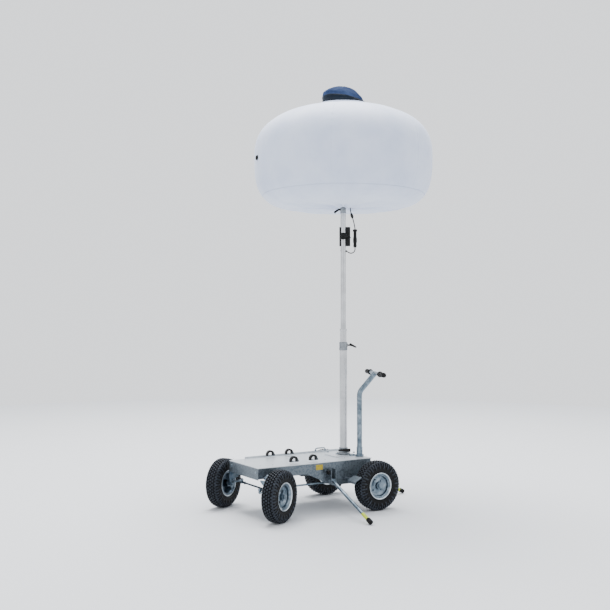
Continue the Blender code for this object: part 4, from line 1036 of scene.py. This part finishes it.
def tiller_grips():
    """Moulded grips: end cap, ribbed barrel and inner flange."""
    inner, outer = TILLER_BAR_HALF - GRIP_LENGTH, TILLER_BAR_HALF
    bore, barrel = TILLER_BAR_R + GAP, 0.0165
    for side, hand in SIDES:
        profile = [(0, outer), (0.0135, outer), (0.0158, outer - 0.0012), (barrel, outer - 0.0035),
                   (barrel, outer - 0.012)]
        rib = outer - 0.013
        while rib > inner + 0.016:
            profile += [(barrel - 0.0012, rib), (barrel - 0.0012, rib - 0.0024), (barrel, rib - 0.0034),
                        (barrel, rib - 0.0058)]
            rib -= 0.0068
        profile += [(barrel, inner + 0.008), (0.02, inner + 0.0055), (0.0205, inner + 0.0045),
                    (0.0205, inner + 0.001), (0.0195, inner), (bore, inner), (bore, outer - 0.0017),
                    (0, outer - 0.0017)]
        where = TILLER_FRAME @ Matrix.Translation((-TILLER_REACH, 0, TILLER_BAR_Z)) @ Matrix.Rotation(
            -side * math.pi / 2, 4, "X")
        fit("ribbed_grip_" + hand, drawn(turn, profile, where, 40), "tiller", NYLON,
            ["tiller_grip_" + hand])


def tiller_boss():
    """Bearing tube of the tiller, its flange with four bolts on the deck."""
    where = Matrix.Translation((TILLER.x, TILLER.y, 0))
    bore, tube = TILLER_R + GAP, 0.021
    top, low = 0.396, 0.25
    base_z = DECK_TOP + GAP
    profile = [(bore, top), (tube - 0.0008, top), (tube, top - 0.0008), (tube, 0.342), (0.0228, 0.3385),
               (0.03, 0.3372), (0.031, 0.3364), (0.031, base_z), (tube, base_z), (tube, low), (bore, low)]
    bm = drawn(turn, profile, where, 48, closed=True)
    for i in range(4):
        hexagon_bolt(bm, where @ polar(0.0262, TAU * (i + 0.5) / 4, 0.3374), UP, 0.007, 0.0032)
    fit("tiller_bearing", bm, "chassis", ZINC, ["tiller_boss"], 0.2 * MM)


tiller()
tiller_grips()
tiller_boss()


# Mast

MAST = Matrix.Translation((MAST_X, 0, 0))


def lever(name, points, radius, body, node):
    """A clamp lever: a round arm with a ball at its end."""
    bm = along_tube(points, radius, 24)
    way = (points[-1] - points[-2]).normalized()
    ball = [(radius * 1.25 * math.sin(math.radians(a)), radius * 1.25 * math.cos(math.radians(a)))
            for a in range(0, 181, 20)]
    turn(bm, ball, facing(points[-1] - way * radius * 0.9, way), 24)
    fit(name, bm, body, NYLON, [node], 0.6 * MM)


def mast_tubes():
    """The three tubes: a rivet in the upper one, and a ring round the middle one's top."""
    for name, body, outer, inner in (("lower_tube", "chassis", LOWER_R, 0.0235),
                                     ("upper_tube", "mast_upper", UPPER_R, 0.016)):
        low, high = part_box("mast_" + name)
        profile = [(inner, high.z), (outer, high.z), (outer, low.z), (inner, low.z)]
        bm = drawn(turn, profile, MAST, 64, closed=True)
        if name == "upper_tube":
            dome_rivet(bm, beside(UPPER_R - 0.001, 1.766) - OUTWARD * 0.036, -OUTWARD, 0.0045)
        fit(name, bm, body, TUBE, ["mast_" + name], 0.5 * MM)
    low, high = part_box("mast_middle_tube")
    top = high.z
    profile = [(0.0195, top), (0.0238, top), (0.0248, top - 0.001), (0.025, top - 0.003),
               (0.025, top - 0.017), (0.0246, top - 0.0182), (MIDDLE_R, top - 0.02), (MIDDLE_R, low.z),
               (0.0195, low.z)]
    fit("middle_tube", drawn(turn, profile, MAST, 64, closed=True), "mast_middle", TUBE,
        ["mast_middle_tube"], 0.3 * MM)


def lead_gland():
    """Nylon gland where the lead goes into the upper tube, tilted down towards its loop."""
    way = heading(CABLE_FRAME, math.cos(GLAND_TILT), 0, -math.sin(GLAND_TILT))
    profile = [(CABLE_R, 0.0), (0.0056, 0.0), (0.0064, -0.0012), (0.0068, -0.004), (0.007, -0.0044),
               (0.007, -0.0092), (CABLE_R, -0.0092)]
    bm = drawn(turn, profile, facing(beside(0.0265, GLAND_Z), way), 24, closed=True)
    fit("lead_gland", bm, "mast_upper", NYLON)


def mast_collar():
    """Clamp collar at the lower tube's top, with its pins, its lever and the lever's tapered grip."""
    bore, outer, waist = MIDDLE_R + 0.0006, 0.029, 0.028
    profile = [(bore, COLLAR_TOP), (0.026, COLLAR_TOP), (0.0282, COLLAR_TOP - 0.0015),
               (outer, COLLAR_TOP - 0.004), (outer, COLLAR_TOP - 0.016), (waist, COLLAR_TOP - 0.017),
               (waist, COLLAR_TOP - 0.04), (outer, COLLAR_TOP - 0.041), (outer, LOWER_TOP),
               (bore, LOWER_TOP)]
    bm = drawn(turn, profile, MAST, 64, closed=True)
    for z in (1.092, 1.108):
        rod(bm, beside(0.0285, z, 0.006), beside(0.0285, z, -0.012), 0.004, 16)
    fit("clamp_collar", bm, "chassis", CAST, ["mast_collar"], 0.4 * MM)
    route = ((0.0295, 1.1), (0.037, 1.1002), (0.045, 1.1), (0.052, 1.0992),
             (0.058, 1.098), (0.065, 1.0958), (0.072, 1.093), (0.082, 1.0886))
    lever("clamp_lever", [beside(out, z) for out, z in route], 0.0055, "chassis", "mast_collar_lever")
    grip = drawn(rod, beside(0.045, 1.111), beside(0.0915, 1.0848), 0.0062, 24, 0.0052)
    fit("clamp_lever_grip", grip, "chassis", NYLON, soft_edge=1.5 * MM)


def mast_foot():
    """Flanged socket under the mast, with its tapered foot lever."""
    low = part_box("mast_foot")[0].z
    flange = DECK_TOP + 0.006 + GAP
    bore, socket = LOWER_R + GAP, 0.0305
    profile = [(0, low + 0.005), (bore, low + 0.005), (bore, 0.385), (socket - 0.0008, 0.385),
               (socket, 0.3842), (0.0308, 0.37), (0.0316, 0.358), (0.033, 0.3515), (0.036, 0.347),
               (0.04, 0.344), (0.045, 0.3424), (0.046, 0.3414), (0.046, flange), (socket, flange),
               (socket, low), (0, low)]
    fit("mast_socket", drawn(turn, profile, MAST, 64), "chassis", CAST, ["mast_foot"],
        0.2 * MM)
    middle = Vector((MAST_X, 0, 0.37)) + FORWARD * 0.0405
    begin, end = middle - OUTWARD * 0.04, middle + OUTWARD * 0.049
    profile = [(0, 0.0885), (0.0092, 0.088), (0.0114, 0.085), (0.012, 0.08), (0.0112, 0.06),
               (0.0086, 0.04), (0.007, 0.018), (0.006, 0.006), (0.0052, 0.001), (0, 0.0)]
    fit("foot_lever", drawn(turn, profile, facing(begin, end - begin), 32), "chassis", NYLON,
        ["mast_foot_lever"])


mast_tubes()
lead_gland()
mast_collar()
mast_foot()


# Balloon

GORES = 6
AROUND = 216
GORE_TURN = CABLE_TURN - math.pi / 2 - math.radians(9.6)
SEAM_LOW, GORE_TOP = -0.5, 0.9      # the round seam, and where the upright seams end
SEAM_PULL, GORE_PULL = 0.0026, 0.003
SEAM_PUCKERS, GORE_PUCKERS = 74, 70
GATHER = 0.0092         # depth of the folds that run in to the neck
# Across a tape: share of its half width, and how far it stands off the cloth there
TAPE = ((-1.0, -0.0006), (-0.8, 0.0012), (0.8, 0.0012), (1.0, -0.0006))


def balloon_outline(t):
    """Radius and height of the balloon; t goes from 1 at its pole to -1 at its neck."""
    angle = t * math.pi / 2
    c, s = max(math.cos(angle), 0), abs(math.sin(angle))
    if t > 0:
        return BALLOON_R * c ** TOP_ACROSS, BALLOON_MID + (BALLOON_TOP - BALLOON_MID) * s ** TOP_ALONG
    return BALLOON_R * c ** LOW_ACROSS, BALLOON_MID - (BALLOON_MID - BALLOON_LOW) * s ** LOW_ALONG


def gather(radius, theta):
    """Depth of the folds that run in to the neck, deepest near it."""
    deep = math.exp(-max(radius - 0.09, 0) / 0.17) * min(1, max(radius - NECK_R, 0) / 0.04)
    wide = math.sin(theta * 11 + 1.5 * math.sin(theta * 3))
    narrow = 0.6 * math.sin(theta * 19 + 2 * math.sin(theta * 2))
    return GATHER * deep * (wide + narrow)


def cloth_point(theta, t, lift=0.0):
    """A point of the inflated cloth, drawn in a little at its seams and puckered beside them."""
    radius, z = balloon_outline(t)
    step = 0.004
    (r0, z0), (r1, z1) = balloon_outline(min(t + step, 0.9999)), balloon_outline(max(t - step, -0.9999))
    out = Vector((z0 - z1, r1 - r0))
    out.normalize()
    gore = (theta - GORE_TURN) * GORES / TAU
    from_gore = abs(gore - round(gore)) * 2
    band = abs(t - SEAM_LOW)
    pucker = math.exp(-band / 0.045) * math.sin(theta * SEAM_PUCKERS + 2.2 * math.sin(theta * 5)) * 0.0011
    pucker += math.exp(-from_gore / 0.06) * math.sin(t * GORE_PUCKERS) * 0.0009
    pull = -SEAM_PULL * math.exp(-band / 0.018) - GORE_PULL * math.exp(-from_gore / 0.05)
    sway = 0.0022 * noise.noise(polar(3.2, theta, t * 3))
    fade = min(1, radius / 0.12)
    if t < 0:
        sway += gather(radius, theta)
    rise = (pucker + pull + sway) * fade + lift
    reach = radius + out.x * rise
    return Vector((MAST_X + reach * math.cos(theta), reach * math.sin(theta), z + out.y * rise))


def cloth_rows():
    """Stations down the balloon, closer together beside its seams."""
    rows = [1 - 0.02 * i for i in range(1, 6)]
    stations = set(round(0.9 - 0.025 * i, 4) for i in range(73))
    stations |= {round(SEAM_LOW + d, 4) for d in (-0.012, -0.006, 0, 0.006, 0.012)}
    rows += sorted((t for t in stations if -0.9 <= t <= 0.9), reverse=True)
    return rows + [-0.93, -0.96, -0.98, -0.992, -0.998]


def envelope():
    """The inflated cloth, from its pole to the neck that the collar holds."""
    thetas = [TAU * i / AROUND for i in range(AROUND)]
    rings = [[cloth_point(theta, t) for theta in thetas] for t in cloth_rows()]
    for radius in (0.112, 0.09, 0.07, 0.054, 0.042, 0.035, NECK_R):
        rings.append([Vector((MAST_X + radius * math.cos(theta), radius * math.sin(theta),
                              BALLOON_LOW - gather(radius, theta))) for theta in thetas])
    bm = loft(rings)
    pole = bm.verts.new((MAST_X, 0, BALLOON_TOP))
    bm.verts.ensure_lookup_table()
    top = list(bm.verts)[:AROUND]
    for i in range(AROUND):
        bm.faces.new((pole, top[i], top[(i + 1) % AROUND]))
    piece = fit("balloon_envelope", bm, "mast_upper", CLOTH, ["envelope"], smooth=60)


def seam_tapes():
    """Narrow tape over the round seam, and flat-felled upright seams in the cloth's own white."""
    wide, gore_wide, gore_lift = 0.0075, 0.0085, 0.0009
    rings = [[cloth_point(TAU * i / AROUND, SEAM_LOW + part * wide, lift) for i in range(AROUND)]
             for part, lift in TAPE]
    fit("round_seam", loft(rings), "mast_upper", SEAM, smooth=60)
    bm = bmesh.new()
    count = 90
    for gore in range(GORES):
        middle = GORE_TURN + TAU * gore / GORES
        rows = []
        for i in range(count + 1):
            t = SEAM_LOW + (GORE_TOP - SEAM_LOW) * i / count
            rows.append([bm.verts.new(cloth_point(middle + part * gore_wide, t, min(lift, gore_lift)))
                         for part, lift in TAPE])
        for a, b in zip(rows, rows[1:]):
            for i in range(3):
                bm.faces.new((a[i], a[i + 1], b[i + 1], b[i]))
    fit("gore_seams", bm, "mast_upper", CLOTH, smooth=60)


def vent():
    """Round rubber vent cap that stands out from the side of the balloon."""
    theta = CABLE_TURN - math.pi / 2 - math.radians(72)
    where = facing(cloth_point(theta, -0.0185), polar(1, theta))
    profile = [(0, 0.007), (0.008, 0.0072), (0.01, 0.0092), (0.0135, 0.0092), (0.0155, 0.0074),
               (0.016, 0.003), (0.0185, 0.0022), (0.019, -0.004), (0, -0.004)]
    fit("side_vent", drawn(turn, profile, where, 40), "mast_upper", DARK, smooth=50)


def top_ring():
    """Padded cloth ring under the hood."""
    low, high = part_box("top_ring")
    profile = [(0.06, high.z), (RING_R - 0.006, high.z), (RING_R - 0.0015, high.z - 0.0015),
               (RING_R, high.z - 0.0045), (RING_R - 0.001, high.z - 0.0085), (RING_R - 0.004, low.z + 0.001),
               (0.14, low.z + 0.003), (0.06, low.z + 0.0048)]
    bm = drawn(turn, profile, MAST, 96, closed=True)
    to_hood = CABLE_FRAME.inverted()
    for vert in bm.verts:
        if vert.co.z > high.z - 0.005:
            local = to_hood @ vert.co
            vert.co.z += hem_rise(math.atan2(local.y, local.x))
    fit("cap_ring", bm, "mast_upper", CLOTH, ["top_ring"], smooth=50)


HOOD_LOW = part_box("hood")[0].z
HOOD_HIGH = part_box("hood")[1].z
HOOD_R = 0.149
HOOD_SHIFT = 0.004      # the hood hangs a little to its slumped side
DRUM_SHARE = 0.45       # how far up the cloth its upright wall reaches
DRUM_HIGH = 0.6         # and how much of the height that wall takes
SLUMP_SHARE = 0.1       # on the slumped side the wall is only this much


def hem_rise(theta):
    """How far the hem is drawn up, and the ring under it with it: most at its two sides."""
    return 0.003 + 0.01 * math.cos(theta) ** 2


def hood_point(theta, t, lift=0.0):
    """A point of the hood; t goes from 0 at its hem to 1 at its crown. Theta 0 is the slumped side."""
    # The far side stands up like a drum under a low crown; the slumped side falls in a straight slope
    upright = (1 - math.cos(theta)) / 2
    over = max(0, t - DRUM_SHARE) / (1 - DRUM_SHARE) * math.pi / 2
    slope = max(0, t - SLUMP_SHARE) / (1 - SLUMP_SHARE) * math.pi / 2
    drum = DRUM_HIGH * min(1, t / DRUM_SHARE) + (1 - DRUM_HIGH) * math.sin(over) ** 1.3
    fall = min(t, SLUMP_SHARE) + (1 - SLUMP_SHARE) * math.sin(slope) ** 2
    radius = HOOD_R * (upright * math.cos(over) + (1 - upright) * math.cos(slope))
    raised = hem_rise(theta)
    z = raised + (HOOD_HIGH - HOOD_LOW - raised) * (upright * drum + (1 - upright) * fall)
    spot = polar(2.0, theta, t * 2.4)
    folds = 0.003 * noise.noise(spot * 1.3) + 0.0034 * noise.noise(spot * 3.1)
    drape = math.sin(theta * 9 + 3.0 * t + 2 * math.sin(theta * 2)) * 0.0024 * (1 - t) * (0.3 + t)
    band = -0.003 * math.exp(-((t - 0.2) / 0.08) ** 2)
    rise = folds * min(1, 3 * t) + drape + band + lift
    reach = radius + rise
    local = Vector((HOOD_SHIFT + reach * math.cos(theta), reach * math.sin(theta),
                    HOOD_LOW + z + rise * math.sin(t * math.pi / 2) * 0.5))
    return CABLE_FRAME @ local


def shade_band_top(theta):
    """How far up the hood the dark painted shade band reaches: least on the slumped side."""
    return 0.34 - 0.16 * max(0, math.cos(theta))


def hood():
    """Cloth hood: gathered hem, creased band and a slumped crown, cut from one round piece."""
    around, rows = 120, 40
    thetas = [TAU * i / around for i in range(around)]
    rings = [[hood_point(theta, row / rows) for theta in thetas] for row in range(rows)]
    bm = loft(rings)
    verts = list(bm.verts)
    pole = bm.verts.new(hood_point(0, 0.9999))
    last = verts[-around:]
    for i in range(around):
        bm.faces.new((last[i], pole, last[(i + 1) % around]))
    piece = fit("hood_cloth", bm, "mast_upper", NAVY, ["hood"], smooth=70)
    wall = piece.modifiers.new("cloth", "SOLIDIFY")
    wall.thickness = 0.0012
    wall.offset = -1
    # A near-black strip over the lower part of the hood: painted shade under the crown's overhang
    shade_band_lift = ((0.0, 0.0004), (0.02, 0.0026), (0.15, 0.003), (0.3, 0.0026), (0.45, 0.0026),
               (0.6, 0.0026), (0.75, 0.0026), (0.9, 0.0024), (1.0, 0.0004))
    hem = loft([[hood_point(theta, share * shade_band_top(theta), lift) for theta in thetas]
                for share, lift in shade_band_lift])
    strip = fit("hood_painted_shade_band", hem, "mast_upper", HOOD_PAINTED_SHADE_BAND, smooth=60)


def balloon_collar():
    """Neck collar that grips the upper tube and holds the cloth, with its lever."""
    low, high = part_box("balloon_collar")
    inner, neck, tube = UPPER_R + GAP, NECK_R - GAP, 0.0205
    flange = BALLOON_LOW
    profile = [(inner, high.z), (neck - 0.001, high.z), (neck, high.z - 0.001), (neck, flange),
               (neck - 0.001, flange - 0.001), (tube, flange - 0.002), (tube, low.z + 0.012),
               (tube - 0.0006, low.z + 0.011), (tube - 0.0006, low.z + 0.008), (tube, low.z + 0.007),
               (tube, low.z + 0.0008), (tube - 0.0008, low.z), (inner, low.z)]
    fit("neck_collar", drawn(turn, profile, MAST, 64, closed=True), "mast_upper", CAST,
        ["balloon_collar"], 0.2 * MM)
    route = ((0.0208, 2.056), (0.03, 2.056), (0.036, 2.0529), (0.042, 2.049), (0.048, 2.045),
             (0.055, 2.04), (0.062, 2.034))
    lever("neck_lever", [beside(-out, z) for out, z in route], 0.0072, "mast_upper", "balloon_lever")


envelope()
seam_tapes()
vent()
top_ring()
hood()
balloon_collar()


# Cable bracket

def cable_bracket():
    """Channel behind the mast with one thick side, its strap, knob and bolt."""
    inner, wall, out = 0.019, 0.0035, 0.0495
    back, left, front = inner + wall, inner + 0.0075, -0.012
    middle = (HOLDER_LOW + HOLDER_HIGH) / 2
    where = CABLE_FRAME @ Matrix.Translation((0, 0, middle))
    channel = [(-left, front), (-inner, front), (-inner, inner), (inner, inner), (inner, front), (out, front),
               (out, back), (-left, back)]
    strap = [(-left + 0.0005, 0), (-left + 0.0005, -back), (inner + 0.0145, -back), (inner + 0.0145, 0),
             (inner, 0), (inner, -inner), (-inner, -inner), (-inner, 0)]
    bm = drawn(slab, channel, HOLDER_HIGH - HOLDER_LOW, where)
    slab(bm, strap, 0.016, where)
    fit("holder_channel", bm, "mast_upper", NYLON, ["cable_bracket"], 0.9 * MM)
    knob_seat = facing(beside(-0.001, middle, back), heading(CABLE_FRAME, 0, -1, 0))
    knob = drawn(lobed_knob, knob_seat, 0.0255, 0.0215, 6)
    fit("holder_knob", knob, "mast_upper", NYLON, soft_edge=0.8 * MM)
    bolt = drawn(hexagon_bolt, beside(out, middle - 0.007), OUTWARD, 0.01, 0.004)
    fit("holder_bolt", bolt, "mast_upper", ZINC, soft_edge=0.2 * MM)


def lobed_knob(bm, where, radius, height, lobes):
    """A hand knob with lobes round its rim, a shank under it and a dimple on top."""
    count = lobes * 10
    levels = ((0.0, 0.45), (0.3, 0.45), (0.42, 0.92), (0.55, 1.0), (0.88, 1.0), (1.0, 0.86), (1.0, 0.4),
              (0.94, 0.34))
    rings = []
    for share, size in levels:
        ring = []
        for i in range(count):
            angle = TAU * i / count
            wave = 1 - 0.07 * (0.5 - 0.5 * math.cos(lobes * angle)) * (1 if size > 0.8 else 0)
            ring.append(bm.verts.new(where @ polar(radius * size * wave, angle, share * height)))
        rings.append(ring)
    skin(bm, rings)
    bm.faces.new(rings[0][::-1])
    bm.faces.new(rings[-1])


cable_bracket()


# Outriggers

def outrigger(name, knob_side, place, angle):
    """Bracket with cheeks, pivot bolt and star knob; leg with its tape band and rubber foot."""
    seat = turned_frame(place, angle)
    half, sheet, depth = 0.0195, 0.004, 0.052
    low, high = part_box("leg_bracket_" + name)
    inner = half - sheet
    pivot_out, knob_z = 0.034, 0.266
    shape = [(-half, GAP), (half, GAP), (half, depth), (inner, depth), (inner, sheet), (-inner, sheet),
             (-inner, depth), (-half, depth)]
    bm = drawn(slab, shape, high.z - low.z, seat @ Matrix.Translation((0, 0, (low.z + high.z) / 2)))
    bolts = bmesh.new()
    ear = [(-0.011, -0.009), (0.011, -0.009), (0.011, 0.009), (-0.011, 0.009)]
    for x in (-1, 1):
        pivot = seat @ Vector((x * half, pivot_out, LEG_PIVOT_Z))
        hexagon_bolt(bolts, pivot, heading(seat, x, 0, 0), 0.013, 0.006)
        for z in (low.z + 0.012, high.z - 0.012):
            slab(bm, ear, 0.003, seat @ standing((x * (half + 0.01), 0.0018, z)))
            dome_rivet(bolts, seat @ Vector((x * (half + 0.012), 0.0033, z)), heading(seat, 0, 1, 0), 0.004)
    pin_ends = [seat @ Vector((-knob_side * (half + out), pivot_out, knob_z)) for out in (0.004, -0.001)]
    rod(bolts, *pin_ends, 0.0045, 20)
    fit("leg_cheeks_" + name, bm, "chassis", SHEET, ["leg_bracket_" + name], 0.8 * MM)
    fit("leg_bolts_" + name, bolts, "chassis", ZINC, soft_edge=0.2 * MM)
    knob_seat = facing(seat @ Vector((knob_side * half, pivot_out, knob_z)), heading(seat, knob_side, 0, 0))
    knob = drawn(lobed_knob, knob_seat, 0.0155, 0.019, 5)
    fit("leg_star_knob_" + name, knob, "chassis", NYLON, soft_edge=0.8 * MM)
    leg(name, seat @ Matrix.Translation((0, pivot_out, LEG_PIVOT_Z)), inner - GAP)


def leg(name, where, eye_half):
    """Leg tube with its eye, a tape band and a ribbed rubber foot."""
    drop, away = math.sin(LEG_PITCH), math.cos(LEG_PITCH)
    length = (LEG_PIVOT_Z - FOOT_R * away) / drop
    foot_begin = length - 0.041
    down = where @ facing((0, 0, 0), (0, away, -drop))
    bm = drawn(turn, [(0, 0.002), (LEG_R, 0.002), (LEG_R, foot_begin), (0, foot_begin)], down, 40)
    ends = [where @ Vector((x, 0, 0)) for x in (-eye_half, eye_half)]
    rod(bm, *ends, 0.015, 40)
    fit("leg_bar_" + name, bm, "leg_" + name, ZINC, ["leg_tube_" + name], 0.4 * MM)
    under, over = LEG_R - 0.0005, LEG_R + 0.0004
    low, high = foot_begin - 0.058, foot_begin - 0.002
    tape = drawn(turn, [(under, low), (over, low), (over, high), (under, high)], down, 40, closed=True)
    fit("leg_tape_" + name, tape, "leg_" + name, BAND)
    begin, end = foot_begin + GAP, length
    profile = [(0, begin), (FOOT_R - 0.003, begin), (FOOT_R - 0.002, begin + 0.002)]
    for i in range(3):
        z = begin + 0.004 + 0.006 * i
        profile += [(FOOT_R - 0.0018, z), (FOOT_R - 0.0004, z + 0.0015), (FOOT_R - 0.0004, z + 0.0035),
                    (FOOT_R - 0.0018, z + 0.005)]
    profile += [(FOOT_R, end - 0.016), (FOOT_R, end - 0.006), (FOOT_R - 0.0015, end - 0.002),
                (FOOT_R - 0.005, end), (0, end)]
    fit("leg_rubber_" + name, drawn(turn, profile, down, 40), "leg_" + name, FOOT,
        ["leg_foot_" + name])


SIDE_LEG_X = joint_place("leg_left_fold").x
REAR_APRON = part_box("rear_apron")[0].x
outrigger("left", 1, (SIDE_LEG_X, PANEL_OUT, 0), 0)
outrigger("right", -1, (SIDE_LEG_X, -PANEL_OUT, 0), math.pi)
outrigger("rear", 1, (REAR_APRON, joint_place("leg_rear_fold").y, 0), math.pi / 2)
